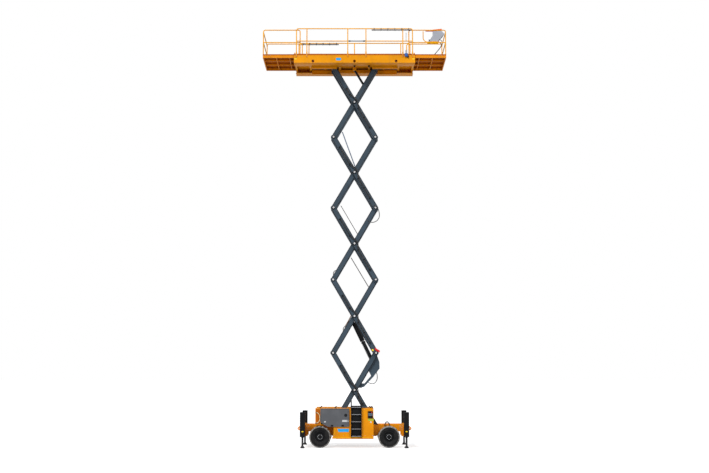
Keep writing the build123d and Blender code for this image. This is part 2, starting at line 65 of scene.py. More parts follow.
class Socket:
    """An output socket. Sums written with it add Math nodes to its graph."""

    def __init__(self, graph, output):
        self.graph, self.output = graph, output

    def math(self, operation, first, second):
        return self.graph.add("Math", {"operation": operation}, {0: first, 1: second})

    def __add__(self, other):
        return self.math("ADD", self, other)

    def __sub__(self, other):
        return self.math("SUBTRACT", self, other)

    def __rsub__(self, other):
        return self.math("SUBTRACT", other, self)

    def __mul__(self, other):
        return self.math("MULTIPLY", self, other)

    def __gt__(self, other):
        return self.math("GREATER_THAN", self, other)

    __radd__ = __add__
    __rmul__ = __mul__


class Graph:
    """The node tree of a material or of the world, empty but for its output."""

    def __init__(self, owner, output):
        owner.use_nodes = True
        self.owner, self.tree = owner, owner.node_tree
        self.tree.nodes.clear()
        self.end = self.tree.nodes.new(output)

    def add(self, kind, settings=None, inputs=None, output=0):
        """A node of this kind, set first and then fed, as the socket that it gives."""
        node = self.tree.nodes.new("ShaderNode" + kind)
        for name, value in (settings or {}).items():
            if name == "stops":
                for stop, (place, colour) in zip(self.ramp_stops(node, len(value)), value):
                    stop.position, stop.color = place, colour
            else:
                setattr(node, name, value)
        for name, value in (inputs or {}).items():
            self.feed(node.inputs[name], value)
        return Socket(self, node.outputs[output])

    def ramp_stops(self, node, count):
        while len(node.color_ramp.elements) < count:
            node.color_ramp.elements.new(1.0)
        return node.color_ramp.elements

    def feed(self, target, value):
        if isinstance(value, Socket):
            self.tree.links.new(value.output, target)
        else:
            target.default_value = value

    def finish(self, shader):
        self.feed(self.end.inputs["Surface"], shader)
        return self.owner


room_light, mirror_share, floor_reach = 0.62, 0.35, 400
sky = Graph(bpy.data.worlds.new("studio_sky"), "ShaderNodeOutputWorld")
scene.world = sky.owner
ambient = sky.add("Background", inputs={"Color": (0.93, 0.96, 1.0, 1), "Strength": room_light})
backdrop = sky.add("Background", inputs={"Color": (1, 1, 1, 1), "Strength": 1.0})
seen, mirrored, passed = (
    sky.add("LightPath", output=name) for name in ("Is Camera Ray", "Is Glossy Ray", "Is Transmission Ray")
)
shows = sky.add("Math", {"operation": "ADD", "use_clamp": True}, {0: seen + passed, 1: mirror_share * mirrored})
sky.finish(sky.add("MixShader", inputs={0: shows, 1: ambient, 2: backdrop}))

floor_mesh = bmesh.new()
bmesh.ops.create_grid(floor_mesh, x_segments=1, y_segments=1, size=floor_reach)
floor_data = bpy.data.meshes.new("studio_floor")
floor_mesh.to_mesh(floor_data)
floor = bpy.data.objects.new("studio_floor", floor_data)
scene.collection.objects.link(floor)
pale = Graph(bpy.data.materials.new("pale_floor"), "ShaderNodeOutputMaterial")
seen = pale.add("LightPath", output="Is Camera Ray")
glow = pale.add("Emission", inputs={"Color": (1, 1, 1, 1), "Strength": seen * room_light})
matt = pale.add("BsdfDiffuse", inputs={"Color": (0.55, 0.55, 0.55, 1)})
floor_data.materials.append(pale.finish(pale.add("AddShader", inputs={0: glow, 1: matt})))

for name, energy, direction, angle in (
    ("key_sun", 2.1, (0.45, 0.85, -0.95), 14),
    ("fill_sun", 0.7, (-0.8, 0.7, -0.25), 30),
):
    lamp = bpy.data.lights.new(name, "SUN")
    lamp.energy, lamp.angle = energy, radians(angle)
    sun = bpy.data.objects.new(name, lamp)
    sun.rotation_mode = "QUATERNION"
    sun.rotation_quaternion = Vector(direction).to_track_quat("-Z", "Y")
    scene.collection.objects.link(sun)

eye_distance, eye_height, tilt_up = 41.867, 2.788, 7.454
camera = bpy.data.objects.new("camera", bpy.data.cameras.new("camera"))
camera.data.lens, camera.data.sensor_width = 53.49, 36
camera.location = (0.0, -eye_distance, eye_height)
camera.rotation_euler = (radians(90 + tilt_up), 0, 0)
camera.data.clip_end = 5 * floor_reach
scene.collection.objects.link(camera)
scene.camera = camera

# ------------------------------------------------------------------ tyres
# Four lugged rubber tyres. The carcass is dark, its side walls carry moulded rings, and the
# lugs and shoulders are scuffed and dusted paler.
hinges = {joint["name"]: joint for joint in frame["record"]["behaviour"]["joints"]}
wheels = [(end, side) for end in ("front", "rear") for side in ("near", "far")]


def surface_at(graph, centre=(0, 0, 0), stretch=(1, 1, 1)):
    """Object coordinates, measured from a centre and stretched."""
    place = graph.add("TexCoord", output="Object")
    return graph.add("Mapping", {"vector_type": "POINT"}, {"Vector": place, "Scale": stretch, "Location": [
        -along * scale for along, scale in zip(centre, stretch)]})


def cloudy(graph, place, scale, detail=3.0, roughness=0.55):
    """Soft noise from 0 to 1."""
    return graph.add("TexNoise", inputs={
        "Vector": place, "Scale": scale, "Detail": detail, "Roughness": roughness})


def ramped(graph, value, low, high):
    """0 below one value, 1 over another, and even in between."""
    return graph.add("MapRange", {"clamp": True}, {"Value": value, "From Min": low, "From Max": high})


def blended(graph, factor, first, second):
    """A colour part of the way from the first to the second."""
    return graph.add("Mix", {"data_type": "RGBA", "clamp_factor": True},
                     {0: factor, 6: first, 7: second}, output=2)


def tyre_rubber(name, axle, bead, crown):
    """Rubber with rings on its wall from the bead outwards, scuffed pale near its crown."""
    graph = Graph(bpy.data.materials.new(name), "ShaderNodeOutputMaterial")
    place = surface_at(graph, axle)
    split = graph.tree.nodes.new("ShaderNodeSeparateXYZ")
    graph.feed(split.inputs[0], place)
    along, up = Socket(graph, split.outputs["X"]), Socket(graph, split.outputs["Z"])
    reach = graph.add("Math", {"operation": "SQRT"}, {0: along * along + up * up})
    scuffed = ramped(graph, reach + 0.02 * cloudy(graph, place, 22.0), crown - 0.050, crown - 0.018)
    dusty = ramped(graph, cloudy(graph, place, 7.0, 5.0), 0.42, 0.72)
    rubber = blended(graph, scuffed, (0.010, 0.010, 0.011, 1), (0.30, 0.29, 0.27, 1))
    colour = blended(graph, 0.12 * dusty, rubber, (0.17, 0.155, 0.14, 1))
    wall = (reach > bead + 0.025) * (1 - ramped(graph, reach, crown - 0.09, crown - 0.075))
    rings = graph.add("Math", {"operation": "SINE"}, {0: 420.0 * reach}) * wall
    grain = cloudy(graph, place, 160.0, 2.0)
    bump = graph.add("Bump", inputs={"Strength": 0.5, "Distance": 0.002, "Height": 0.6 * rings + 0.5 * grain})
    return graph.finish(graph.add("BsdfPrincipled", inputs={
        "Base Color": colour, "Roughness": 0.78 + 0.14 * dusty, "Specular IOR Level": 0.12, "Normal": bump}))


def coat_node(node, material):
    """Gives a carried-over node its finish."""
    nodes[node].data.materials.clear()
    nodes[node].data.materials.append(material)


for end, side in wheels:
    axle_centre = hinges[f"wheel_{end}_{side}_spin"]["pos_m"]
    tyre_low, tyre_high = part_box(f"tyre_{end}_{side}")
    rim_low, rim_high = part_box(f"rim_{end}_{side}")
    coat_node(f"tyre_{end}_{side}", tyre_rubber(
        f"tyre_rubber_{end}_{side}", axle_centre, (rim_high.z - rim_low.z) / 2, (tyre_high.z - tyre_low.z) / 2))

# ------------------------------------------------------------------ rims and hubs
# Dished steel rims in black enamel, each with a ring of nuts round its hub, a pressed hub cap
# and a tyre valve. The enamel is chipped to grey along edges.
def enamel(name, colour, worn, roughness=0.42, wear=0.5, grime=0.25, shade_band=None, shine=0.16):
    """Sprayed paint: faintly mottled, chipped along edges, and streaked with dirt down its sides. Where given, a
    second colour above a height is painted shade.
    """
    graph = Graph(bpy.data.materials.new(name), "ShaderNodeOutputMaterial")
    place = surface_at(graph)
    coat = (*colour, 1)
    # painted shade: above the given height the coat turns to the shaded colour
    if shade_band:
        height, shade_colour = shade_band
        split = graph.tree.nodes.new("ShaderNodeSeparateXYZ")
        graph.feed(split.inputs[0], place)
        coat = blended(graph, Socket(graph, split.outputs["Z"]) > height, coat, (*shade_colour, 1))
    deep = graph.add("Mix", {"data_type": "RGBA", "blend_type": "MULTIPLY"}, {
        0: 1.0, 6: coat, 7: (0.80, 0.78, 0.76, 1)}, output=2)
    mottled = blended(graph, ramped(graph, cloudy(graph, place, 1.6, 4.0), 0.38, 0.70), coat, deep)
    streaks = ramped(graph, cloudy(graph, surface_at(graph, stretch=(9, 9, 0.9)), 1.0, 4.0), 0.56, 0.80)
    specks = ramped(graph, cloudy(graph, place, 55.0, 3.0), 0.66, 0.74)
    dirty = blended(graph, grime * (0.7 * streaks + 0.5 * specks), mottled, (0.10, 0.075, 0.055, 1))
    rounded = graph.add("Bevel", {"samples": 4}, {"Radius": 0.006})
    flat = graph.add("NewGeometry", output="True Normal")
    turned_in = graph.add("VectorMath", {"operation": "DOT_PRODUCT"}, {0: rounded, 1: flat}, output="Value")
    edge = (1 - turned_in) + 0.05 * cloudy(graph, place, 34.0, 4.0)
    chips = wear * ramped(graph, edge, 0.045, 0.10)
    colour_out = blended(graph, chips, dirty, (*worn, 1))
    peel = cloudy(graph, place, 300.0, 1.0)
    bump = graph.add("Bump", inputs={"Strength": 0.10, "Distance": 0.001, "Height": peel, "Normal": rounded})
    return graph.finish(graph.add("BsdfPrincipled", inputs={
        "Base Color": colour_out, "Roughness": roughness + 0.22 * streaks + 0.2 * chips,
        "Specular IOR Level": shine, "Normal": bump}))


black_enamel = enamel("black_enamel", (0.006, 0.006, 0.007), (0.10, 0.10, 0.11), roughness=0.42,
                      wear=0.30, grime=0.12)
zinc_plate = enamel("zinc_plate", (0.42, 0.43, 0.45), (0.62, 0.62, 0.62), roughness=0.34, wear=0.3, grime=0.4)


def turn(shape, centre, axis, profile, steps=28):
    """Spins a profile of (radius, height) points round an axis through a centre."""
    swing = Vector(axis).to_track_quat("Z", "Y").to_matrix()
    points = [shape.verts.new(Vector(centre) + swing @ Vector((radius, 0, height))) for radius, height in profile]
    edges = [shape.edges.new(pair) for pair in zip(points, points[1:])]
    spun = bmesh.ops.spin(
        shape, geom=points + edges, cent=centre, axis=Vector(axis).normalized(), angle=2 * pi,
        steps=steps, use_merge=True)
    bmesh.ops.remove_doubles(shape, verts=shape.verts, dist=1e-6)
    return spun


def bolts(shape, places, axis, size):
    """Hexagon heads, each on its washer, at these places on a face that looks along an axis."""
    swing = Vector(axis).to_track_quat("Z", "Y").to_matrix().to_4x4()
    for place in places:
        for sides, radius, height, start in ((14, 1.15, 0.22, 0.0), (6, 0.9, 0.75, 0.2)):
            middle = Vector(place) + Vector(axis) * size * (start + height / 2)
            bmesh.ops.create_cone(
                shape, cap_ends=True, segments=sides, radius1=radius * size, radius2=radius * size * 0.96,
                depth=height * size, matrix=Matrix.Translation(middle) @ swing)


def block(shape, low, high, edge=0.0):
    """A box between two corners, with its edges eased."""
    low, high = Vector(low), Vector(high)
    made = bmesh.ops.create_cube(
        shape, size=1.0, matrix=Matrix.Translation((low + high) / 2) @ Matrix.Diagonal((*(high - low), 1)))
    if edge:
        edges = list({line for corner in made["verts"] for line in corner.link_edges})
        bmesh.ops.bevel(
            shape, geom=edges, offset=edge, offset_type="OFFSET", segments=2, profile=0.5,
            affect="EDGES", material=-1)


def fit(name, shape, material, body):
    """Turns a finished bmesh into a piece that rides on a body, smooth where it is round."""
    bmesh.ops.recalc_face_normals(shape, faces=shape.faces)
    mesh = bpy.data.meshes.new(name)
    shape.to_mesh(mesh)
    shape.free()
    mesh.materials.append(material)
    mesh.shade_smooth()
    mesh.set_sharp_from_angle(angle=radians(32))
    piece = bpy.data.objects.new(name, mesh)
    scene.collection.objects.link(piece)
    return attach(piece, body)


nuts, nut_circle, nut_size, nut_seat = 8, 0.086, 0.013, 0.092
for end, side in wheels:
    out = -1 if side == "near" else 1
    axle_centre = Vector(hinges[f"wheel_{end}_{side}_spin"]["pos_m"])
    coat_node(f"rim_{end}_{side}", black_enamel)
    nut_ring = bmesh.new()
    for nut in range(nuts):
        angle = 2 * pi * nut / nuts
        spot = axle_centre + Vector((nut_circle * cos(angle), out * nut_seat, nut_circle * sin(angle)))
        bolts(nut_ring, [spot], (0, out, 0), nut_size)
    fit(f"wheel_nuts_{end}_{side}", nut_ring, zinc_plate, f"wheel_{end}_{side}")
    cap = bmesh.new()
    turn(cap, axle_centre, (0, out, 0), (
        (0.0, 0.041), (0.054, 0.041), (0.056, 0.074), (0.052, 0.082), (0.030, 0.088), (0.0, 0.090)))
    fit(f"hub_cap_{end}_{side}", cap, black_enamel, f"wheel_{end}_{side}")
    valve = bmesh.new()
    turn(valve, axle_centre + Vector((0, out * 0.040, 0.150)), (0, out, 0), (
        (0.0, 0.0), (0.010, 0.0), (0.010, 0.008), (0.006, 0.010), (0.006, 0.034), (0.0, 0.034)), steps=12)
    fit(f"tyre_valve_{end}_{side}", valve, black_enamel, f"wheel_{end}_{side}")

# ------------------------------------------------------------------ axles and knuckles
# Cast axle beams and steering knuckles in the same black enamel, with plate washers and nuts
# on the ends of the king pins.
for node in ("front_axle", "rear_axle", "knuckle_near", "knuckle_far"):
    coat_node(node, black_enamel)
for side in ("near", "far"):
    pin_low, pin_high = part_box(f"knuckle_{side}")
    pin_place = Vector(hinges[f"steer_{side}"]["pos_m"])
    king_pin = bmesh.new()
    for end_z, axis in ((pin_high.z, 1), (pin_low.z, -1)):
        turn(king_pin, (pin_place.x, pin_place.y, end_z), (0, 0, axis), (
            (0.0, 0.0), (0.026, 0.0), (0.026, 0.006), (0.016, 0.008), (0.013, 0.014), (0.0, 0.014)), steps=18)
    fit(f"king_pin_ends_{side}", king_pin, zinc_plate, f"knuckle_{side}")

# ------------------------------------------------------------------ orange chassis
# Two deep side rails with their roller tracks, cross members and end beams, welded from plate
# and sprayed orange. Chipped edges show a dark primer.
orange = (0.80, 0.285, 0.0)
primer = (0.16, 0.055, 0.02)
orange_enamel = enamel("orange_enamel", orange, primer, roughness=0.40, wear=0.55, grime=0.30)
# painted shade: the orange of parts in shadow, laid on recessed panels, hole linings, gussets and upper beam
# edges
shaded_orange = (0.44, 0.105, 0.0015)
for node in ("near_chassis_rail", "far_chassis_rail", "cross_members", "end_beams"):
    coat_node(node, orange_enamel)
rail_bolts = bmesh.new()
bolt_rows, bolt_pitch, lowest_bolt = 4, 0.05, 0.26
for side in (-1, 1):
    low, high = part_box("near_chassis_rail" if side < 0 else "far_chassis_rail")
    face = low.y if side < 0 else high.y
    for end in (-1, 1):
        for from_end in (0.06, 0.13):
            bolts(rail_bolts, [(end * (high.x - from_end), face, low.z + lowest_bolt + bolt_pitch * row)
                               for row in range(bolt_rows)], (0, side, 0), 0.012)
fit("rail_bolts", rail_bolts, zinc_plate, "chassis")

# ------------------------------------------------------------------ stabilisers
# Square black tubes that guide the four legs. Each has a collar and four bolts on its top, a
# wiper collar at its foot, welded seam rings and an oval yellow reflector. The feet are steel.
coat_node("stabiliser_housings", black_enamel)
leg_steel = enamel("leg_steel", (0.022, 0.022, 0.024), (0.30, 0.30, 0.30), roughness=0.36, wear=0.4, grime=0.5)
for end, side in wheels:
    coat_node(f"leg_{end}_{side}", leg_steel)
reflector = enamel("reflector_yellow", (0.80, 0.55, 0.01), (0.6, 0.4, 0.05), roughness=0.25, wear=0.2, grime=0.3)
housing_low, housing_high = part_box("stabiliser_housings")
housing_length, housing_width = 0.200, 0.130
reflector_up, ring_drops, ring_tall, ring_proud, ring_thick = 0.200, (0.155, 0.62), 0.012, 0.004, 0.006
leg_guides, guide_caps, reflectors = bmesh.new(), bmesh.new(), bmesh.new()
for end in (-1, 1):
    for side in (-1, 1):
        leg_x = end * (housing_high.x - housing_length / 2)
        leg_y = side * (housing_high.y - housing_width / 2)
        turn(leg_guides, (leg_x, leg_y, housing_low.z), (0, 0, -1), (
            (0.031, 0.0), (0.056, 0.0), (0.056, 0.012), (0.046, 0.030), (0.031, 0.030), (0.031, 0.0)), steps=24)
        turn(guide_caps, (leg_x, leg_y, housing_high.z), (0, 0, 1), (
            (0.038, 0.0), (0.058, 0.0), (0.058, 0.006), (0.038, 0.006), (0.038, 0.0)), steps=28)
        bolts(guide_caps, [(leg_x + along, leg_y + across, housing_high.z)
                           for along in (-0.064, 0.064) for across in (-0.030, 0.030)], (0, 0, 1), 0.009)
        face = leg_y + side * housing_width / 2
        bmesh.ops.create_uvsphere(reflectors, u_segments=20, v_segments=10, radius=1.0, matrix=Matrix.Translation(
            (leg_x, face, housing_low.z + reflector_up)) @ Matrix.Diagonal((0.044, 0.004, 0.026, 1)))
        for height in ring_drops:
            ring_low, ring_high = housing_high.z - height, housing_high.z - height + ring_tall
            out_x, out_y = housing_length / 2 + ring_proud, housing_width / 2 + ring_proud
            for way in (-1, 1):
                low_x, high_x = sorted((leg_x + way * out_x, leg_x + way * (out_x - ring_thick)))
                low_y, high_y = sorted((leg_y + way * out_y, leg_y + way * (out_y - ring_thick)))
                block(guide_caps, (low_x, leg_y - out_y, ring_low), (high_x, leg_y + out_y, ring_high), 0.002)
                block(guide_caps, (leg_x - out_x, low_y, ring_low), (leg_x + out_x, high_y, ring_high), 0.002)
fit("leg_guides", leg_guides, black_enamel, "chassis")
fit("guide_caps", guide_caps, black_enamel, "chassis")
fit("housing_reflectors", reflectors, reflector, "chassis")

# ------------------------------------------------------------------ cabinets
# Folded sheet boxes between the wheels, sprayed orange, over a sill whose edge and slanted flange carry a paler
# orange as painted highlight. They have lifting eyes on their tops, an end panel in a darker orange that is
# painted shade, and bare plates where marks would go.
near_low, near_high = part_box("near_cabinet")
near_face = near_low.y
for node in ("near_cabinet", "far_cabinet"):
    coat_node(node, orange_enamel)


def sticker(name, colour, roughness=0.35):
    """Thin printed film, a little scuffed, which lies on the paint."""
    graph = Graph(bpy.data.materials.new(name), "ShaderNodeOutputMaterial")
    place = surface_at(graph)
    scuffs = ramped(graph, cloudy(graph, place, 28.0, 5.0), 0.52, 0.75)
    faded = tuple(0.72 * part + 0.05 for part in colour)
    return graph.finish(graph.add("BsdfPrincipled", inputs={
        "Base Color": blended(graph, 0.6 * scuffs, (*colour, 1), (*faded, 1)),
        "Roughness": roughness + 0.25 * scuffs}))


pale_film = sticker("pale_film", (0.55, 0.56, 0.56))
blue_film = sticker("blue_film", (0.0, 0.34, 0.80))
green_film = sticker("green_film", (0.42, 0.48, 0.03))
yellow_film = sticker("yellow_film", (0.86, 0.66, 0.02))
# painted shade: enamel in the shaded orange
shade_orange_enamel = enamel("painted_shade_orange_enamel", shaded_orange, primer, roughness=0.45, wear=0.4, grime=0.35)


def plate(shape, corners, face, out, thick=0.0015, round_by=0.006):
    """A flat plate whose outline is given along X and Z, on a side that faces along Y."""
    rim = [shape.verts.new((x, face, z)) for x, z in corners]
    grown = bmesh.ops.extrude_face_region(shape, geom=[shape.faces.new(rim)], use_keep_orig=True)
    raised = [part for part in grown["geom"] if isinstance(part, bmesh.types.BMVert)]
    bmesh.ops.translate(shape, verts=raised, vec=(0, out * thick, 0))
    if round_by:
        uprights = [line for corner in raised for line in corner.link_edges
                    if abs(line.other_vert(corner).co.y - corner.co.y) > thick / 2]
        bmesh.ops.bevel(shape, geom=uprights, offset=round_by, offset_type="OFFSET", segments=3, profile=0.5,
                        affect="EDGES", material=-1)


def rectangle(low_x, high_x, low_z, high_z):
    return ((low_x, low_z), (high_x, low_z), (high_x, high_z), (low_x, high_z))


# painted shade: the recessed end panel is coloured in the shaded orange
end_panel = bmesh.new()
plate(end_panel, rectangle(near_low.x + 0.018, near_low.x + 0.180, 0.885, near_high.z - 0.030),
      near_face, -1, 0.003)
fit("end_panel", end_panel, shade_orange_enamel, "chassis")

sill_z, skirt_foot, skirt_top, sill_proud = near_low.z + 0.010, -0.850, 0.735, 0.012
skirts, sill_highlight_strip = bmesh.new(), bmesh.new()
for side in (-1, 1):
    plate(skirts, ((skirt_foot, sill_z), (-0.690, sill_z), (-0.690, skirt_top), (-0.745, skirt_top)),
          -side * near_face + side * 0.001, -side, 0.040, 0.0)
    plate(skirts, rectangle(skirt_foot + 0.004, near_high.x - 0.002, sill_z, sill_z + 0.070),
          -side * near_face, side, sill_proud, 0.0)
# painted highlight: paler orange strips along the sill's edge and the slanted flange next to the wheel arch
plate(sill_highlight_strip, rectangle(-0.828, near_high.x - 0.004, sill_z + 0.034, sill_z + 0.066),
      near_face - sill_proud, -1, 0.002)
plate(sill_highlight_strip, ((-0.826, 0.440), (-0.790, 0.440), (-0.712, 0.730), (-0.740, 0.730)), near_face, -1, 0.004)
fit("cabinet_skirts", skirts, orange_enamel, "chassis")
# painted highlight: a paler orange than the cabinets
painted_highlight_orange = enamel("painted_highlight_orange", (0.86, 0.40, 0.005), orange, roughness=0.35, wear=0.5, grime=0.25)
fit("sill_highlight_strip", sill_highlight_strip, painted_highlight_orange, "chassis")

skirt_plate = bmesh.new()
plate(skirt_plate, ((-0.606, 0.607), (-0.215, 0.607), (-0.215, 0.724), (-0.655, 0.724)), near_face, -1)
fit("skirt_plate", skirt_plate, blue_film, "chassis")

panel_seams = bmesh.new()
for x in (-0.190, 0.340):
    plate(panel_seams, rectangle(x - 0.002, x + 0.002, 0.440, near_high.z - 0.01), near_face, -1, 0.001, 0.0)
plate(panel_seams, rectangle(-0.850, -0.205, 0.775, 0.779), near_face, -1, 0.001, 0.0)
seam_dark = enamel("seam_dark", (0.09, 0.03, 0.006), (0.09, 0.03, 0.006), roughness=0.7, wear=0.0, grime=0.5)
fit("panel_seams", panel_seams, seam_dark, "chassis")

cabinet_bolts, top_fittings, lifting_eye_y = bmesh.new(), bmesh.new(), 0.80
for side, face in ((-1, near_face), (1, -near_face)):
    rows = [(x, face, 0.475) for x in (-0.77, -0.42, 0.40, 0.68)]
    rows += [(x, face, near_high.z - 0.045) for x in (0.37, 0.69)]
    bolts(cabinet_bolts, rows, (0, side, 0), 0.010)
    for x in (-1.318, -0.735, 0.610, 0.690):
        turn(top_fittings, (x, side * lifting_eye_y, near_high.z), (0, 0, 1), (
            (0.0, 0.0), (0.040, 0.0), (0.040, 0.008), (0.022, 0.012), (0.022, 0.034), (0.014, 0.042),
            (0.0, 0.042)), 20)
fit("cabinet_bolts", cabinet_bolts, zinc_plate, "chassis")
fit("top_fittings", top_fittings, black_enamel, "chassis")

# ------------------------------------------------------------------ hoses of the chassis
# Rubber and nylon hoses clipped along the cabinets: a bowed one on the end panel whose near-white colour is a
# painted highlight, a black one to the front axle, and short loops behind the steered wheel.
def hose_rubber(name, colour, dusty):
    """Hose with a faint cross-wound pattern and dust on it."""
    graph = Graph(bpy.data.materials.new(name), "ShaderNodeOutputMaterial")
    place = surface_at(graph)
    wound = graph.add("TexWave", {"wave_type": "BANDS", "bands_direction": "DIAGONAL"}, {
        "Vector": place, "Scale": 60.0, "Distortion": 1.0})
    dust = ramped(graph, cloudy(graph, place, 12.0, 4.0), 0.45, 0.75)
    bump = graph.add("Bump", inputs={"Strength": 0.3, "Distance": 0.001, "Height": wound})
    return graph.finish(graph.add("BsdfPrincipled", inputs={
        "Base Color": blended(graph, 0.6 * dust, (*colour, 1), (*dusty, 1)),
        "Roughness": 0.5 + 0.3 * dust, "Normal": bump}))


black_hose = hose_rubber("black_hose", (0.014, 0.014, 0.015), (0.11, 0.10, 0.09))
# painted highlight: the near-white colour of the bowed hose on the end panel
highlight_pale_hose = hose_rubber("highlight_pale_hose", (0.80, 0.74, 0.45), (0.62, 0.50, 0.22))
brown_hose = hose_rubber("brown_hose", (0.16, 0.07, 0.025), (0.22, 0.14, 0.08))


def hose(name, route, radius, material, body, solid=False):
    """A clipped hose or bent pipe along a smooth line through the air near these points."""
    curve = bpy.data.curves.new(name, "CURVE")
    curve.dimensions, curve.bevel_depth, curve.bevel_resolution = "3D", radius, 3
    curve.resolution_u, curve.use_fill_caps = 6, True
    line = curve.splines.new("NURBS")
    line.points.add(len(route) - 1)
    for point, place in zip(line.points, route):
        point.co = (*place, 1.0)
    line.order_u, line.use_endpoint_u = 3, True
    curve.materials.append(material)
    piece = bpy.data.objects.new(name, curve)
    if solid:
        skin = bpy.data.meshes.new_from_object(piece)
        bpy.data.objects.remove(piece)
        piece = bpy.data.objects.new(name, skin)
    scene.collection.objects.link(piece)
    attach(piece, body)
    return piece


bow_y = near_face - 0.018
hose("end_panel_hose", [(-1.47, bow_y, 0.94), (-1.40, bow_y, 0.95), (-1.335, bow_y, 1.02), (-1.325, bow_y, 1.12),
                        (-1.34, bow_y, 1.24), (-1.40, bow_y, 1.33), (-1.47, bow_y, 1.34)],
     0.011, highlight_pale_hose, "chassis")
hose("axle_hose", [(0.735, -0.93, 1.12), (0.78, -0.93, 1.06), (0.83, -0.92, 0.96), (0.885, -0.90, 0.885),
                   (0.90, -0.84, 0.86)], 0.013, black_hose, "chassis")
for loop, drop in enumerate((0.0, 0.045)):
    hose(f"steering_hose_{loop}", [
        (1.16, -0.515, 0.80), (1.18, -0.545, 0.93 - drop), (1.24, -0.56, 0.99 - drop), (1.31, -0.56, 0.97 - drop),
        (1.36, -0.545, 0.89 - drop), (1.37, -0.515, 0.80)], 0.012, black_hose, "chassis")
hose_clips = bmesh.new()
for x, z in ((-1.47, 0.94), (-1.47, 1.34)):
    block(hose_clips, (x - 0.014, near_face - 0.034, z - 0.020), (x + 0.014, near_face, z + 0.020), 0.003)
fit("hose_clips", hose_clips, black_enamel, "chassis")

# ------------------------------------------------------------------ hinged covers
# Moulded dark grey covers over the engine and the oil tank. Each has a raised rim, a round
# latch pocket with a turning handle, bare pale plates, and hinge leaves along its foot.
def moulded(name, colour, roughness=0.55):
    """Moulded plastic with a fine leathery grain."""
    graph = Graph(bpy.data.materials.new(name), "ShaderNodeOutputMaterial")
    place = surface_at(graph)
    pale = tuple(1.5 * part + 0.01 for part in colour)
    worn = ramped(graph, cloudy(graph, place, 2.2, 5.0), 0.46, 0.74)
    scratches = ramped(graph, cloudy(graph, surface_at(graph, stretch=(3, 3, 60)), 1.0, 3.0), 0.66, 0.76)
    grain = graph.add("TexVoronoi", {"feature": "F1"}, {"Vector": place, "Scale": 260.0}, output="Distance")
    rounded = graph.add("Bevel", {"samples": 4}, {"Radius": 0.006})
    bump = graph.add("Bump", inputs={"Strength": 0.22, "Distance": 0.001, "Height": grain, "Normal": rounded})
    return graph.finish(graph.add("BsdfPrincipled", inputs={
        "Base Color": blended(graph, 0.45 * worn + 0.25 * scratches, (*colour, 1), (*pale, 1)),
        "Roughness": roughness + 0.12 * worn, "Specular IOR Level": 0.35, "Normal": bump}))


cover_plastic = moulded("cover_plastic", (0.085, 0.088, 0.096))
cover_low, cover_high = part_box("near_cover")
latch_x, latch_z, latch_r, cover_thick, dish_depth = -0.335, 1.235, 0.050, 0.034, 0.008


def slab(shape, sides, heights, face, out, thick, edge):
    """An eased box that stands out from a face along Y."""
    low_y, high_y = sorted((face, face + out * thick))
    block(shape, (sides[0], low_y, heights[0]), (sides[1], high_y, heights[1]), edge)


for side, name in ((-1, "near"), (1, "far")):
    face = side * 1.040
    dish = face - side * dish_depth
    panel = bmesh.new()
    outline = ((cover_low.x + 0.290, cover_low.z), (cover_high.x - 0.012, cover_low.z),
               (cover_high.x - 0.012, cover_high.z), (cover_low.x, cover_high.z),
               (cover_low.x, cover_low.z + 0.165))
    plate(panel, outline, face - side * cover_thick, side, cover_thick, 0.045)
    front = max((part for part in panel.faces if abs(part.calc_center_median().y - face) < 1e-6),
                key=lambda part: part.calc_area())
    bmesh.ops.inset_region(panel, faces=[front], thickness=0.026, use_even_offset=True)
    bmesh.ops.inset_region(panel, faces=[front], thickness=0.006, depth=-dish_depth,
                           use_even_offset=True)
    cover = fit(f"cover_{name}", panel, cover_plastic, f"{name}_cover")
    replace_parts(cover, f"{name}_cover")
    pocket = bmesh.new()
    turn(pocket, (latch_x, dish, latch_z), (0, side, 0), (
        (0.0, 0.0), (latch_r + 0.008, 0.0), (latch_r + 0.008, 0.004), (latch_r, 0.006), (latch_r - 0.006, 0.002),
        (0.0, 0.002)), 32)
    fit(f"latch_pocket_{name}", pocket, black_enamel, f"{name}_cover")
    handle = bmesh.new()
    turn(handle, (latch_x, face - side * 0.006, latch_z), (0, side, 0), (
        (0.0, 0.0), (0.014, 0.0), (0.014, 0.006), (0.0, 0.006)), 16)
    slab(handle, (latch_x - 0.006, latch_x + 0.006), (latch_z - 0.030, latch_z + 0.030),
         face - side * 0.001, side, 0.005, 0.002)
    fit(f"latch_handle_{name}", handle, leg_steel, f"{name}_cover")
    marks = bmesh.new()
    for low_x, high_x, low_z, high_z in (
            (-1.160, -1.095, 0.965, 1.010), (-0.470, -0.285, 0.985, 1.055), (-0.262, -0.222, 0.985, 1.055)):
        plate(marks, rectangle(low_x, high_x, low_z, high_z), dish, side)
    fit(f"cover_plates_{name}", marks, pale_film, f"{name}_cover")
    leaves = bmesh.new()
    for x in (-0.860, -0.455):
        slab(leaves, (x - 0.045, x + 0.045), (0.812, 0.872), face - side * 0.001, side, 0.005, 0.002)
        bolts(leaves, [(x - 0.026, face + side * 0.004, 0.850), (x + 0.026, face + side * 0.004, 0.850)],
              (0, side, 0), 0.008)
    fit(f"hinge_leaves_{name}", leaves, black_enamel, f"{name}_cover")

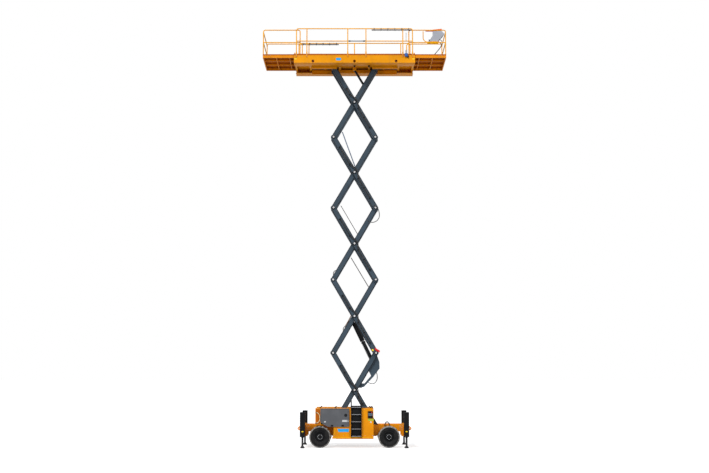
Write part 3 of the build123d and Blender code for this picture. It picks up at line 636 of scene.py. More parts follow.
# ------------------------------------------------------------------ engine block and oil tank
# What stands behind the covers, in black enamel: an engine pack with cooling ribs, and an oil
# tank with a bolted cleaning plate. Each has a filler cap on its top.
rib_count, rib_pitch, lowest_rib = 14, 0.026, 0.06
for node, name, side in (("engine_block", "engine", 1), ("oil_tank", "tank", -1)):
    coat_node(node, black_enamel)
    low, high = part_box(node)
    face = high.y if side > 0 else low.y
    ribs = bmesh.new()
    if name == "engine":
        for rib in range(rib_count):
            z = low.z + lowest_rib + rib_pitch * rib
            slab(ribs, (low.x + 0.05, low.x + 0.40), (z, z + 0.010), face, side, 0.014, 0.002)
    else:
        plate_x, plate_z, bolt_circle, plate_bolts = (low.x + high.x) / 2, (low.z + high.z) / 2, 0.108, 8
        turn(ribs, (plate_x, face, plate_z), (0, side, 0), (
            (0.0, 0.0), (0.130, 0.0), (0.130, 0.010), (0.118, 0.012), (0.0, 0.012)), 36)
        for bolt in range(plate_bolts):
            angle = 2 * pi * bolt / plate_bolts
            bolts(ribs, [(plate_x + bolt_circle * cos(angle), face + side * 0.011,
                          plate_z + bolt_circle * sin(angle))], (0, side, 0), 0.009)
    turn(ribs, (high.x - 0.12, (low.y + high.y) / 2, high.z), (0, 0, 1), (
        (0.0, 0.0), (0.045, 0.0), (0.045, 0.018), (0.034, 0.022), (0.034, 0.040), (0.0, 0.044)), 24)
    fit(f"{name}_fittings", ribs, zinc_plate, "chassis")

# ------------------------------------------------------------------ ladder
# A black folded step ladder against a back sheet, with bent hand grips on top. Each tread
# carries rows of pierced studs, worn to bare metal, that keep a boot from slipping.
ladder_low, ladder_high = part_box("ladder")
stile, ladder_foot, ladder_head, grip_top = 0.024, 0.400, 1.600, 1.800
treads, first_tread, tread_pitch, tread_thick = 5, 0.453, 0.273, 0.026
stud_rows, row_pitch, stud_columns, stud_pitch = 2, 0.030, 12, 0.029
steps = bmesh.new()
block(steps, (ladder_low.x, near_face - 0.006, ladder_foot), (ladder_high.x, near_face, ladder_head), 0.001)
for x in (ladder_low.x, ladder_high.x - stile):
    block(steps, (x, ladder_low.y, ladder_foot), (x + stile, near_face - 0.005, ladder_head), 0.003)
studs, tread_highlight_strips = bmesh.new(), bmesh.new()
for tread in range(treads):
    z = first_tread + tread_pitch * tread
    front = ladder_low.y + 0.008
    block(steps, (ladder_low.x + stile - 0.001, front, z - tread_thick), (
        ladder_high.x - stile + 0.001, near_face - 0.005, z), 0.002)
    for row in range(stud_rows):
        for column in range(stud_columns):
            spot = (ladder_low.x + stile + 0.026 + stud_pitch * column, front + 0.020 + row_pitch * row, z)
            turn(studs, spot, (0, 0, 1), (
                (0.009, 0.0), (0.009, 0.002), (0.006, 0.006), (0.003, 0.002), (0.003, 0.0)), 8)
    # painted highlight: a grey strip along each tread's front edge
    block(tread_highlight_strips, (ladder_low.x + stile, front - 0.003, z - 0.022), (
        ladder_high.x - stile, front + 0.001, z + 0.001), 0.001)
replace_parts(fit("ladder_steps", steps, black_enamel, "chassis"), "ladder")
grip_y, grip_back, grip_r = (ladder_low.y + near_face) / 2, near_face + 0.070, 0.022
for name, x in (("left", ladder_low.x + stile / 2), ("right", ladder_high.x - stile / 2)):
    hose(f"ladder_grip_{name}", [
        (x, grip_y, ladder_head - 0.02), (x, grip_y, ladder_head + 0.06), (x, grip_y, grip_top - 0.05),
        (x, grip_y + 0.005, grip_top), (x, near_face + 0.050, grip_top), (x, grip_back, grip_top - 0.05),
        (x, grip_back, near_high.z + 0.08), (x, grip_back, near_high.z)],
         grip_r, black_enamel, "chassis")
# grey of the worn studs, and painted highlight on the tread strips
stud_grey_and_highlight = enamel("stud_grey_and_highlight", (0.22, 0.22, 0.23), (0.5, 0.5, 0.5), roughness=0.4, wear=0.6, grime=0.4)
fit("tread_studs", studs, stud_grey_and_highlight, "chassis")
fit("tread_highlight_strips", tread_highlight_strips, stud_grey_and_highlight, "chassis")

# ------------------------------------------------------------------ ground controls
# A small black control box in the cabinet's side: a blue-grey switch plate with a key switch,
# rocker switches and a red mushroom stop, over a bare green plate and a round pale one.
coat_node("ground_control_box", black_enamel)
box_low, box_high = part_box("ground_control_box")
panel_face = box_low.y
switch_grey = moulded("switch_grey", (0.16, 0.21, 0.27))
red_plastic = moulded("red_plastic", (0.62, 0.012, 0.015), roughness=0.3)
switch_plate = bmesh.new()
plate(switch_plate, rectangle(box_low.x + 0.016, box_high.x - 0.016, box_low.z + 0.10, box_low.z + 0.19),
      panel_face, -1, 0.004)
fit("switch_plate", switch_plate, switch_grey, "chassis")
rockers = bmesh.new()
for column in range(4):
    x = box_low.x + 0.036 + 0.036 * column
    block(rockers, (x - 0.009, panel_face - 0.014, box_low.z + 0.125),
          (x + 0.009, panel_face - 0.004, box_low.z + 0.165), 0.003)
turn(rockers, (box_low.x + 0.045, panel_face, box_low.z + 0.225), (0, -1, 0), (
    (0.0, 0.0), (0.016, 0.0), (0.016, 0.010), (0.010, 0.014), (0.0, 0.014)), 20)
fit("rocker_switches", rockers, black_enamel, "chassis")
stop_knob = bmesh.new()
turn(stop_knob, (box_high.x - 0.050, panel_face, box_low.z + 0.225), (0, -1, 0), (
    (0.0, 0.0), (0.010, 0.0), (0.010, 0.014), (0.020, 0.018), (0.020, 0.026), (0.012, 0.031), (0.0, 0.032)), 24)
fit("ground_stop_knob", stop_knob, red_plastic, "chassis")
under_plate = bmesh.new()
plate(under_plate, rectangle(box_low.x + 0.01, box_high.x + 0.04, 1.025, 1.108), near_face, -1)
fit("green_plate", under_plate, green_film, "chassis")
round_mark = bmesh.new()
turn(round_mark, (0.626, near_face, 0.975), (0, -1, 0), (
    (0.0, 0.0), (0.032, 0.0), (0.032, 0.0015), (0.0, 0.0015)), 28)
fit("round_plate", round_mark, pale_film, "chassis")

# ------------------------------------------------------------------ scissor arms
# Ten welded frames of square-cut tube in slate paint, five that lean each way. A dark strip along both edges of
# each tube's outer face is painted shade, where the tube's corners turn from the light.
slate = (0.050, 0.074, 0.098)
slate_enamel = enamel("slate_enamel", slate, (0.20, 0.22, 0.24), roughness=0.42, wear=0.4, grime=0.35)
arm_black = enamel("arm_black", (0.008, 0.009, 0.011), (0.08, 0.08, 0.09), roughness=0.5, wear=0.2, grime=0.1)
levels = 5
base_pin = Vector(hinges["lift"]["pos_m"])
first_end = Vector(hinges["outer_2_hinge"]["pos_m"])
half_span, rise = first_end.x, first_end.z - base_pin.z
lean = Vector((2 * half_span, 0, rise)).normalized()
arm_faces = {"inner": 0.240, "outer": 0.345}
shade_strip_size, shade_strip_offset = (3.20, 0.003, 0.022), 0.089


def middle_pin(level):
    return base_pin + Vector((0, 0, (level - 0.5) * rise))


def leaning_block(shape, centre, along, across, size, edge, segments):
    """An eased box whose length runs along an arm."""
    turned = Matrix((along, (0, 1, 0), across)).transposed().to_4x4()
    made = bmesh.ops.create_cube(
        shape, size=1.0, matrix=Matrix.Translation(centre) @ turned @ Matrix.Diagonal((*size, 1)))
    edges = list({line for corner in made["verts"] for line in corner.link_edges})
    bmesh.ops.bevel(
        shape, geom=edges, offset=edge, offset_type="OFFSET", segments=segments, profile=0.5,
        affect="EDGES", material=-1)


for level in range(1, levels + 1):
    for kind, direction in (("inner", 1), ("outer", -1)):
        coat_node(f"{kind}_frame_{level}", slate_enamel)
        # painted shade: dark strips along both edges of each arm's outer face
        shade_strips = bmesh.new()
        along = Vector((direction * lean.x, 0, lean.z))
        across = Vector((-along.z, 0, along.x))
        for side in (-1, 1):
            for edge in (-shade_strip_offset, shade_strip_offset):
                centre = middle_pin(level) + across * edge + Vector((0, side * arm_faces[kind], 0))
                leaning_block(shade_strips, centre, along, across, shade_strip_size, 0.0012, 1)
        fit(f"{kind}_edge_shade_strips_{level}", shade_strips, arm_black, f"{kind}_{level}")

# ------------------------------------------------------------------ pins and keepers
# Bright pin ends in dark keeper plates, each held by two bolts, on both sides of the stack.
# The greased ends catch dust.
bright_steel = enamel("bright_steel", (0.62, 0.62, 0.63), (0.8, 0.8, 0.8), roughness=0.28, wear=0.2, grime=0.5)
pin_head_y, keeper_bolt_reach = 0.361, 0.055
for level in range(1, levels + 1):
    caps, keepers = bmesh.new(), bmesh.new()
    own_pins = [middle_pin(level)]
    if level > 1:
        own_pins.append(base_pin + Vector((half_span, 0, (level - 1) * rise)))
    if level < levels:
        own_pins.append(base_pin + Vector((-half_span, 0, level * rise)))
    for pin in own_pins:
        for side in (-1, 1):
            end_face = Vector((pin.x, side * pin_head_y, pin.z))
            turn(keepers, end_face, (0, side, 0), (
                (0.0, -0.004), (0.070, -0.004), (0.070, 0.004), (0.064, 0.007), (0.042, 0.007), (0.0, 0.007)), 28)
            turn(caps, end_face, (0, side, 0), (
                (0.0, 0.006), (0.039, 0.006), (0.039, 0.014), (0.035, 0.018), (0.012, 0.018), (0.010, 0.015),
                (0.0, 0.015)), 28)
            bolts(keepers, [end_face + Vector((keeper_bolt_reach * way, side * 0.006, 0.0)) for way in (-1, 1)],
                  (0, side, 0), 0.009)
    fit(f"pin_keepers_{level}", keepers, arm_black, f"outer_{level}")
    fit(f"pin_ends_{level}", caps, bright_steel, f"outer_{level}")

# ------------------------------------------------------------------ hoses on the arms
# Two black rubber hoses lie along each near outer arm, one for oil and one for cables. Clips
# hold them to the arm, and they bow round its middle pin.
def on_arm(level, direction, along, across, y):
    """A point measured along and across an arm from its middle pin."""
    run = Vector((direction * lean.x, 0, lean.z))
    side_way = Vector((-run.z, 0, run.x))
    return middle_pin(level) + run * along + side_way * across + Vector((0, y, 0))


hose_y, arm_hose_r, hose_offsets = -0.385, 0.013, (-0.020, 0.018)
clip_y, clip_size = -0.372, (0.040, 0.056, 0.085)
for level, top in ((1, 1.10), (2, 0.95), (3, 1.15), (4, 1.20), (5, 0.66)):
    if level == 1:
        lower_run, clip_places = (-0.66, -0.58, -0.45, -0.28), (-0.62, -0.30, 0.36, 0.78, top - 0.02)
    else:
        lower_run, clip_places = (-1.25, -0.95, -0.60, -0.28), (-1.22, -0.75, -0.30, 0.36, top - 0.02)
    upper_run = [0.34 + (top - 0.34) * share / 3 for share in range(4)]
    for strand, offset in enumerate(hose_offsets):
        route = [on_arm(level, -1, along, offset + 0.006 * sin(7 * along), hose_y + 0.001 * strand)
                 for along in lower_run]
        route += [on_arm(level, -1, along, offset - dip, hose_y - out)
                  for along, dip, out in ((-0.14, 0.075, 0.010), (0.0, 0.135, 0.012), (0.15, 0.080, 0.010))]
        route += [on_arm(level, -1, along, offset + 0.006 * sin(5 * along), hose_y) for along in upper_run]
        hose(f"arm_hose_{level}_{strand}", route, arm_hose_r, black_hose, f"outer_{level}")
    arm_clips = bmesh.new()
    for along in clip_places:
        leaning_block(arm_clips, on_arm(level, -1, along, 0.0, clip_y), Vector((-lean.x, 0, lean.z)),
                      Vector((-lean.z, 0, -lean.x)), clip_size, 0.006, 2)
    fit(f"arm_hose_clips_{level}", arm_clips, black_enamel, f"outer_{level}")

# ------------------------------------------------------------------ loops, cables and stay tube
# Slack hose loops by the pins, a brown sleeve where hoses cross, and two cables and a grey stay tube inside the
# stack, which ride on their arm.
right_end = first_end + Vector((0, 0, 2 * rise))
left_end = Vector((-half_span, 0, base_pin.z + 2 * rise))
for name, body, start, points in (
        ("end_pin_loop", "outer_4", right_end, (
            (-0.06, -0.400, 0.10), (0.08, -0.402, 0.02), (0.15, -0.402, -0.22), (0.15, -0.402, -0.42),
            (0.02, -0.402, -0.58), (-0.22, -0.402, -0.62), (-0.34, -0.400, -0.52))),
        ("cradle_loop", "inner_1", first_end, (
            (-0.10, -0.120, -0.50), (0.02, -0.122, -0.72), (0.07, -0.122, -0.98), (-0.02, -0.122, -1.18),
            (-0.20, -0.122, -1.22), (-0.36, -0.120, -1.12))),
        ("crossing_loop", "inner_2", middle_pin(2), (
            (-0.20, -0.120, -0.42), (-0.36, -0.122, -0.36), (-0.47, -0.122, -0.50), (-0.40, -0.122, -0.66),
            (-0.28, -0.120, -0.60))),
        ("left_pin_loop", "inner_3", left_end, (
            (0.02, -0.120, 0.16), (-0.02, -0.122, 0.26), (0.06, -0.122, 0.40), (0.20, -0.120, 0.38)))):
    hose(name, [start + Vector(point) for point in points], 0.015, black_hose, body)
stay_grey = enamel("stay_grey", (0.17, 0.22, 0.30), (0.3, 0.3, 0.3), roughness=0.4, wear=0.2)
cable_y, settled = -0.115, 0.12
for name, level, finish, radius, start, stop in (
        ("stay_tube", 4, stay_grey, 0.022, (-0.490, 1.69), (0.045, 0.20)),
        ("lower_cable_3", 3, black_hose, 0.013, (-0.545, 1.55), (0.135, 0.38)),
        ("lower_cable_2", 2, black_hose, 0.016, (-0.135, 2.33), (0.600, 1.09))):
    pin = middle_pin(level)
    high_end, low_end = Vector((start[0], 0, start[1])), Vector((stop[0], 0, stop[1]))
    stretch = [pin + high_end.lerp(low_end, share) + Vector((0, cable_y, 0)) for share in (0, 0.25, 0.5, 0.75, 1)]
    cable = hose(name, stretch, radius, finish, f"outer_{level}", solid=True)
    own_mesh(cable)
hose("crossing_sleeve", [on_arm(2, 1, along, 0.125 + 0.01 * cos(9 * along), cable_y)
                         for along in (-0.55, -0.35, -0.12, 0.06)], 0.016, brown_hose, "inner_2")

# ------------------------------------------------------------------ red flag and yellow patch
# A red plastic flag bolted by the right end pin of the lowest level, and a yellow film patch
# on the arm beside it.
flag, patch = bmesh.new(), bmesh.new()
plate(flag, [(first_end.x + x, first_end.z + z) for x, z in (
    (-0.04, 0.20), (0.16, 0.08), (0.14, 0.01), (-0.04, 0.11))], -0.362, -1, 0.004, 0.0)
plate(patch, [(first_end.x + x, first_end.z + z) for x, z in (
    (-0.150, 0.150), (-0.080, 0.110), (-0.110, 0.060), (-0.180, 0.100))], -0.3465, -1, 0.002, 0.0)
fit("red_flag", flag, red_plastic, "outer_2")
fit("yellow_patch", patch, yellow_film, "outer_2")

# ------------------------------------------------------------------ lift cylinder and links
# A black cylinder with a chromed rod under a black sleeve. Its gland is screwed on, and steel
# pipes lie along the barrel. The two centring links are black too.
for node in ("lift_barrel", "lower_link", "upper_link"):
    coat_node(node, arm_black)
chrome = enamel("chrome", (0.70, 0.70, 0.72), (0.8, 0.8, 0.8), roughness=0.16, wear=0.0, grime=0.25)
coat_node("lift_rod", chrome)
foot = Vector(hinges["cylinder_hinge"]["pos_m"])
stroke = -Vector(hinges["cylinder_slide"]["axis"]).normalized()
if stroke.z < 0:
    stroke = -stroke
gland_reach, sleeve_gap, eye_r, eye_gap = 1.215, 0.020, 0.078, 0.12
eye_reach = (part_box("lift_rod")[1].z - eye_r - foot.z) / stroke.z
sleeve_length = eye_reach - (gland_reach + sleeve_gap) - eye_gap
rod_sleeve = bmesh.new()
turn(rod_sleeve, foot + stroke * (gland_reach + sleeve_gap), stroke, (
    (0.0890, 0.0), (0.0925, 0.0), (0.0925, sleeve_length - 0.012), (0.084, sleeve_length), (0.056, sleeve_length),
    (0.056, sleeve_length - 0.006), (0.0890, sleeve_length - 0.014), (0.0890, 0.0)), 32)
fit("rod_sleeve", rod_sleeve, black_enamel, "lift_rod")
gland = bmesh.new()
turn(gland, foot + stroke * gland_reach, stroke, (
    (0.055, -0.070), (0.086, -0.070), (0.086, -0.012), (0.080, 0.0), (0.066, 0.004), (0.055, 0.004),
    (0.055, -0.070)), 36)
turn(gland, foot + stroke * 0.10, stroke, (
    (0.075, -0.012), (0.084, -0.012), (0.084, 0.012), (0.075, 0.012), (0.075, -0.012)), 36)
fit("cylinder_gland", gland, black_enamel, "lift_barrel")
side_way = Vector((-stroke.z, 0, stroke.x))
for name, y in (("near", -0.046), ("far", 0.046)):
    route = [foot + stroke * place + side_way * off + Vector((0, y, 0)) for place, off in (
        (0.16, 0.062), (0.30, 0.062), (0.60, 0.062), (0.90, 0.062), (1.12, 0.062), (1.16, 0.058))]
    hose(f"cylinder_pipe_{name}", route, 0.006, zinc_plate, "lift_barrel")

# ------------------------------------------------------------------ deck frame
# Deep orange side beams whose set-back upper edge is coloured a darker orange as painted shade, joined by cross
# members. Thin pans close the underside, rings in the shaded orange line the lifting holes as painted shade, and
# plates socket the posts' feet.
deck_low, deck_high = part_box("deck_frame")
rails_low, rails_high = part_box("guard_rails")
beam_top, beam_face = rails_low.z, deck_high.y
beam_depth, shade_band_height = 0.372, 0.062
beam_bottom = beam_top - beam_depth
bright_orange = (0.84, 0.320, 0.0)
# painted shade: the beams' upper edge takes the shaded orange
beam_paint = enamel("beam_paint", bright_orange, primer, roughness=0.38, wear=0.55, grime=0.25,
                    shade_band=(beam_top - shade_band_height, shaded_orange))
coat_node("deck_frame", beam_paint)
pans, pan_inside, pan_thick = bmesh.new(), 0.475, 0.006
for side in (-1, 1):
    slab(pans, (deck_low.x + 0.002, deck_high.x - 0.002), (beam_bottom, beam_bottom + pan_thick),
         side * pan_inside, side, beam_face - 0.038 - pan_inside, 0.001)
fit("deck_pans", pans, orange_enamel, "platform")
floor_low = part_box("deck_floor")[0]
backing = bmesh.new()
block(backing, (deck_low.x + 0.004, -beam_face + 0.039, floor_low.z - 0.004),
      (deck_high.x - 0.004, beam_face - 0.039, floor_low.z), 0.0005)
fit("floor_backing", backing, orange_enamel, "platform")
hole_shade_rings, post_feet, beam_bolts = bmesh.new(), bmesh.new(), bmesh.new()
hole_places, hole_up, foot_proud = (-1.664, 0.0, 1.664), 0.070, 0.012
post_places = {-1: (-2.330, -1.910, -0.270, 0.460, 1.940, 2.330), 1: (-2.330, -1.910, 0.0, 1.940, 2.330)}
for side, places in post_places.items():
    face = side * beam_face
    # painted shade: rings in the shaded orange reaching down into each lifting hole
    for x in hole_places:
        turn(hole_shade_rings, (x, face, beam_bottom + hole_up), (0, side, 0), (
            (0.047, -0.040), (0.047, 0.004), (0.056, 0.004), (0.058, 0.0), (0.052, -0.001), (0.047, -0.040)), 32)
    for x in places:
        slab(post_feet, (x - 0.027, x + 0.027), (beam_top - 0.140, beam_top - 0.002),
             face, side, foot_proud, 0.003)
        bolts(beam_bolts, [(x, face + side * foot_proud, beam_top - drop) for drop in (0.035, 0.105)],
              (0, side, 0), 0.010)
    bolts(beam_bolts, [(x, face, beam_top - 0.100) for x in (-2.22, -2.10, 2.10, 2.22)], (0, side, 0), 0.009)
fins = bmesh.new()
for end in (-1, 1):
    for side in (-1, 1):
        tip = end * deck_high.x
        plate(fins, ((tip, beam_top), (tip - end * 0.065, beam_top), (tip - end * 0.022, beam_top + 0.058)),
              side * (beam_face - 0.024), side, 0.010, 0.0)
fit("beam_hole_shade_rings", hole_shade_rings, shade_orange_enamel, "platform")
fit("post_feet", post_feet, orange_enamel, "platform")
fit("beam_bolts", beam_bolts, zinc_plate, "platform")
fit("end_fins", fins, orange_enamel, "platform")
beam_plates, blue_plate, end_plates = bmesh.new(), bmesh.new(), bmesh.new()
for shape, low_x, high_x, low_z, high_z in (
        (beam_plates, -0.980, -0.780, 0.12, 0.17), (blue_plate, -0.740, -0.540, 0.10, 0.20),
        (beam_plates, 0.50, 0.90, 0.11, 0.14)):
    plate(shape, rectangle(low_x, high_x, beam_bottom + low_z, beam_bottom + high_z), -beam_face, -1)
for x in (-2.36, 2.36):
    plate(end_plates, rectangle(x - 0.045, x + 0.045, beam_top - 0.235, beam_top - 0.195), -beam_face, -1)
fit("beam_blank_plates", beam_plates, beam_paint, "platform")
fit("beam_blue_plate", blue_plate, blue_film, "platform")
fit("beam_end_plates", end_plates, yellow_film, "platform")
sounders, sounder_tall = bmesh.new(), 0.045
for x in (0.0, 0.59):
    block(sounders, (x - 0.035, -0.62, beam_bottom - sounder_tall), (x + 0.035, -0.54, beam_bottom), 0.008)
    turn(sounders, (x, -0.58, beam_bottom - sounder_tall), (0, 0, -1), (
        (0.0, 0.0), (0.028, 0.0), (0.028, 0.018), (0.016, 0.030), (0.0, 0.032)), 20)
fit("underside_sounders", sounders, black_enamel, "platform")

# ------------------------------------------------------------------ deck floor
# Aluminium tread plate in sheets, its raised lozenges polished by boots and the field between
# them dull.
def tread_plate(name, colour, bright):
    """Metal with a lattice of raised lozenges, brighter where boots have worn them."""
    graph = Graph(bpy.data.materials.new(name), "ShaderNodeOutputMaterial")
    place = surface_at(graph)
    split = graph.tree.nodes.new("ShaderNodeSeparateXYZ")
    graph.feed(split.inputs[0], place)
    along, across = Socket(graph, split.outputs["X"]), Socket(graph, split.outputs["Y"])

    def wave(value):
        return graph.add("Math", {"operation": "SINE"}, {0: value})

    lozenge = ramped(graph, wave(105.0 * (along + across)) * wave(105.0 * (along - across)), 0.35, 0.75)
    worn = ramped(graph, cloudy(graph, place, 3.0, 5.0), 0.35, 0.7)
    bump = graph.add("Bump", inputs={"Strength": 0.6, "Distance": 0.002, "Height": lozenge})
    return graph.finish(graph.add("BsdfPrincipled", inputs={
        "Base Color": blended(graph, lozenge * (0.4 + 0.6 * worn), (*colour, 1), (*bright, 1)),
        "Metallic": 0.8, "Roughness": 0.52 - 0.2 * lozenge, "Normal": bump}))


floor_plate = tread_plate("floor_plate", (0.26, 0.26, 0.27), (0.62, 0.62, 0.63))
coat_node("deck_floor", floor_plate)

# ------------------------------------------------------------------ guard rails
# Round tube rails in a brighter orange, sleeved at their feet, with a grey drop bar in the
# entry, a ribbed dark cable guard strapped under the top rails and a pale document tube.
rail_enamel = enamel("rail_enamel", (0.95, 0.430, 0.0), primer, roughness=0.45, wear=0.2, grime=0.1, shine=0.1)
for node in ("guard_rails", "left_extension_rails", "right_extension_rails"):
    coat_node(node, rail_enamel)
tube_r = 0.020
rail_y = rails_high.y - tube_r
sleeves = bmesh.new()
for side, places in post_places.items():
    for x in places:
        turn(sleeves, (x, side * rail_y, beam_top), (0, 0, 1), (
            (tube_r, 0.0), (0.029, 0.0), (0.029, 0.085), (0.026, 0.090), (tube_r, 0.090), (tube_r, 0.0)), 20)
fit("post_sleeves", sleeves, rail_enamel, "platform")
bar_grey = enamel("bar_grey", (0.20, 0.20, 0.22), (0.45, 0.45, 0.45), roughness=0.4, wear=0.4)
coat_node("entry_bar", bar_grey)
bar_low, bar_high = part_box("entry_bar")
bar_grips = bmesh.new()
for x, way in ((bar_low.x, 1), (bar_high.x, -1)):
    turn(bar_grips, (x, (bar_low.y + bar_high.y) / 2, (bar_low.z + bar_high.z) / 2), (way, 0, 0), (
        (0.0, 0.0), (0.024, 0.0), (0.026, 0.006), (0.026, 0.080), (0.021, 0.086), (0.0, 0.086)), 20)
fit("entry_bar_grips", bar_grips, black_enamel, "entry_bar")
guard_plastic = moulded("guard_plastic", (0.060, 0.045, 0.050))
guard_z, guard_rings, strap_gaps, strap_inset = rails_high.z - tube_r - 0.055, 66, 5, 0.10
for name, low_x, high_x, side in (("near", 0.69, 2.28, -1), ("far", -2.26, -0.66, 1)):
    ribbed, straps = bmesh.new(), bmesh.new()
    pitch = (high_x - low_x) / guard_rings
    profile = [(radius, ring * pitch + place) for ring in range(guard_rings)
               for radius, place in ((0.018, 0.004), (0.024, 0.008), (0.024, 0.016), (0.018, 0.020))]
    turn(ribbed, (low_x, side * rail_y, guard_z), (1, 0, 0), [(0.0, 0.0), *profile, (0.0, high_x - low_x)], 14)
    fit(f"cable_guard_{name}", ribbed, guard_plastic, "platform")
    for strap in range(strap_gaps + 1):
        x = low_x + strap_inset + strap * (high_x - low_x - 2 * strap_inset) / strap_gaps
        block(straps, (x - 0.011, side * rail_y - 0.028, guard_z - 0.027), (
            x + 0.011, side * rail_y + 0.028, rails_high.z - 0.0005), 0.004)
    fit(f"cable_straps_{name}", straps, black_enamel, "platform")
document_tube = bmesh.new()
turn(document_tube, (2.07, -rail_y - 0.038, beam_top + 0.53), (0, 0, 1), (
    (0.0, 0.0), (0.016, 0.0), (0.016, 0.34), (0.0, 0.34)), 18)
fit("document_tube", document_tube, pale_film, "platform")

# ------------------------------------------------------------------ deck extensions
# Roll-out decks at both ends: a frame of flat members whose upper edge is coloured darker as painted shade, ribs
# below, a row of gussets inside each side in the shaded orange, also painted shade, bolts near the tips, and a
# sheet of tread plate on top.
gusset_gaps, gusset_inset, gusset_thick, gusset_wide, side_member = 8, 0.06, 0.010, 0.095, 0.036
for name, way in (("left", -1), ("right", 1)):
    low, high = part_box(f"{name}_extension")
    # painted shade: the side members' upper edge takes the shaded orange
    coat_node(f"{name}_extension", enamel(
        f"{name}_extension_paint", (0.82, 0.270, 0.0), primer, roughness=0.45, wear=0.45, grime=0.25,
        shade_band=(high.z - 0.048, shaded_orange)))
    gussets, end_bolts = bmesh.new(), bmesh.new()
    floor_under, inside = high.z - 0.010, high.y - side_member
    for step in range(gusset_gaps + 1):
        x = low.x + gusset_inset + step * (high.x - low.x - 2 * gusset_inset) / gusset_gaps
        for side in (-1, 1):
            corner = [gussets.verts.new((x - gusset_thick / 2, side * y, z)) for y, z in (
                (inside, floor_under), (inside - gusset_wide, floor_under), (inside, low.z + 0.012))]
            grown = bmesh.ops.extrude_face_region(gussets, geom=[gussets.faces.new(corner)], use_keep_orig=True)
            bmesh.ops.translate(gussets, vec=(gusset_thick, 0, 0), verts=[
                part for part in grown["geom"] if isinstance(part, bmesh.types.BMVert)])
    for side in (-1, 1):
        tip = low.x + 0.10 if way < 0 else high.x - 0.10
        bolts(end_bolts, [(tip - way * 0.10 * step, side * high.y, (low.z + high.z) / 2 + 0.02)
                          for step in range(3)], (0, side, 0), 0.010)
    # painted shade: the gussets under the deck are coloured in the shaded orange
    fit(f"{name}_gussets", gussets, shade_orange_enamel, f"{name}_extension")
    fit(f"{name}_end_bolts", end_bolts, zinc_plate, f"{name}_extension")
    tread = bmesh.new()
    block(tread, (low.x + 0.012, low.y + 0.012, high.z), (high.x - 0.012, high.y - 0.012, high.z + 0.002))
    fit(f"{name}_tread_sheet", tread, floor_plate, f"{name}_extension")

# ------------------------------------------------------------------ platform controls
# A grey moulded control box on a shelf and a bent tube bracket, under a red sun hood. On its
# sloping front are a joystick with a rubber boot, push buttons and a red mushroom stop.
right_low, right_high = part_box("right_extension")
tip_x = right_high.x
hoop_mid = beam_top + 0.485
shelf_z, console_near, console_far = hoop_mid + 0.034, -0.905, -0.700
pale_plastic = moulded("console_plastic", (0.34, 0.35, 0.39), roughness=0.4)
body = bmesh.new()
plate(body, [(tip_x + x, shelf_z + z) for x, z in (
    (-0.704, 0.0), (-0.344, 0.0), (-0.064, 0.330), (-0.174, 0.450), (-0.524, 0.440), (-0.524, 0.270))],
      console_far, -1, console_far - console_near, 0.014)
console = fit("console_box", body, pale_plastic, "right_extension")
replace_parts(console, "platform_console")
hood = bmesh.new()
plate(hood, [(tip_x + x, shelf_z + z) for x, z in (
    (-0.524, 0.442), (-0.174, 0.452), (-0.164, 0.538), (-0.524, 0.506))],
      console_far - 0.008, -1, console_far - console_near - 0.016, 0.008)
fit("console_hood", hood, red_plastic, "right_extension")
shelf = bmesh.new()
block(shelf, (tip_x - 0.740, console_near - 0.02, shelf_z - 0.010),
      (tip_x - 0.300, console_far + 0.03, shelf_z), 0.003)
fit("console_shelf", shelf, rail_enamel, "right_extension")
slope = Vector((0.280, 0, 0.330)).normalized()
outwards = Vector((slope.z, 0, -slope.x))
middle = Vector((tip_x - 0.204, (console_near + console_far) / 2, shelf_z + 0.165))
knobs, stops = bmesh.new(), bmesh.new()
turn(knobs, middle - slope * 0.06, outwards, (
    (0.0, 0.0), (0.034, 0.0), (0.030, 0.010), (0.018, 0.022), (0.010, 0.030), (0.010, 0.070), (0.017, 0.078),
    (0.018, 0.110), (0.012, 0.122), (0.0, 0.124)), 24)
for row in range(2):
    for column in range(3):
        spot = middle + slope * (0.050 + 0.040 * row) + Vector((0, 0.045 * (column - 1), 0))
        turn(knobs, spot, outwards, ((0.0, 0.0), (0.012, 0.0), (0.012, 0.008), (0.008, 0.012), (0.0, 0.012)), 14)
turn(stops, middle - slope * 0.14 + Vector((0, 0.055, 0)), outwards, (
    (0.0, 0.0), (0.012, 0.0), (0.012, 0.016), (0.024, 0.020), (0.024, 0.030), (0.014, 0.036), (0.0, 0.037)), 24)
turn(knobs, (tip_x - 0.680, console_near - 0.004, shelf_z + 0.060), (0, -1, 0), (
    (0.0, 0.0), (0.022, 0.0), (0.022, 0.020), (0.0, 0.022)), 18)
fit("console_knobs", knobs, black_enamel, "right_extension")
fit("console_stop", stops, red_plastic, "right_extension")
hoop_y = right_low.y + 0.018
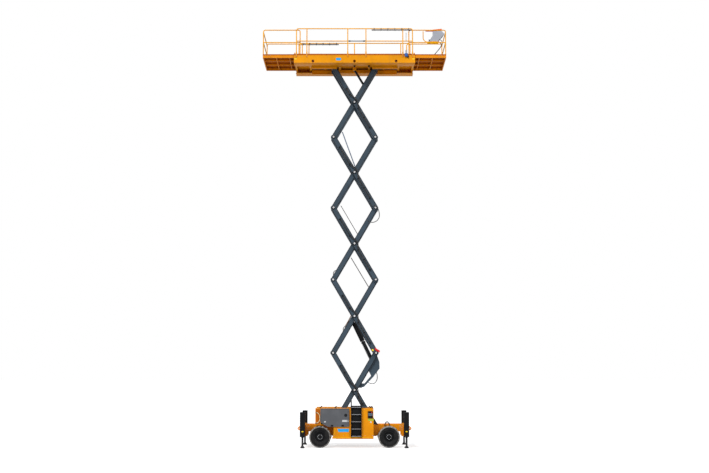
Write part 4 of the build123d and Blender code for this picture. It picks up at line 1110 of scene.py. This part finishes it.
hose("console_bracket", [(x, hoop_y, hoop_mid + up) for x, up in (
    (2.76, 0.46), (2.76, 0.30), (2.76, 0.12), (2.88, 0.012), (3.10, 0.030), (3.30, 0.034))],
     0.018, rail_enamel, "right_extension")
hose("console_cable", [
    (tip_x - 0.32, console_near + 0.05, shelf_z - 0.012), (tip_x - 0.22, console_near + 0.03, shelf_z - 0.03),
    (tip_x - 0.17, console_near + 0.02, shelf_z - 0.12), (tip_x - 0.24, hoop_y + 0.04, shelf_z - 0.25),
    (tip_x - 0.34, hoop_y + 0.05, shelf_z - 0.37), (tip_x - 0.42, hoop_y + 0.06, shelf_z - 0.46),
    (tip_x - 0.46, hoop_y + 0.07, right_high.z + 0.015)],
     0.016, black_hose, "right_extension")
hood_rod = bmesh.new()
turn(hood_rod, (tip_x - 0.82, console_near + 0.03, shelf_z + 0.445), (1, 0, 0), (
    (0.0, 0.0), (0.017, 0.0), (0.017, 0.31), (0.0, 0.31)), 18)
fit("hood_rod", hood_rod, red_plastic, "right_extension")

# ------------------------------------------------------------------ outlet box
# A blue moulded socket box screwed to the near beam under a grey domed cover, with a black
# plug beside it.
outlet_x, outlet_z, outlet_deep = 2.070, beam_top - 0.128, 0.062
outlet_y = -beam_face - outlet_deep / 2
blue_plastic = moulded("blue_plastic", (0.02, 0.10, 0.34), roughness=0.4)
socket_box, dome, plug = bmesh.new(), bmesh.new(), bmesh.new()
slab(socket_box, (outlet_x - 0.060, outlet_x + 0.060), (outlet_z, outlet_z + 0.135),
     -beam_face, -1, outlet_deep, 0.008)
outlet = fit("socket_box", socket_box, blue_plastic, "platform")
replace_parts(outlet, "outlet_box")
turn(dome, (outlet_x, outlet_y, outlet_z + 0.134), (0, 0, 1), (
    (0.0, 0.0), (0.031, 0.0), (0.031, 0.110), (0.026, 0.134), (0.014, 0.147), (0.0, 0.150)), 26)
fit("socket_dome", dome, pale_plastic, "platform")
turn(plug, (outlet_x + 0.078, outlet_y, outlet_z - 0.055), (0, 0, 1), (
    (0.0, 0.0), (0.020, 0.0), (0.024, 0.010), (0.024, 0.100), (0.018, 0.110), (0.0, 0.112)), 22)
fit("socket_plug", plug, black_enamel, "platform")
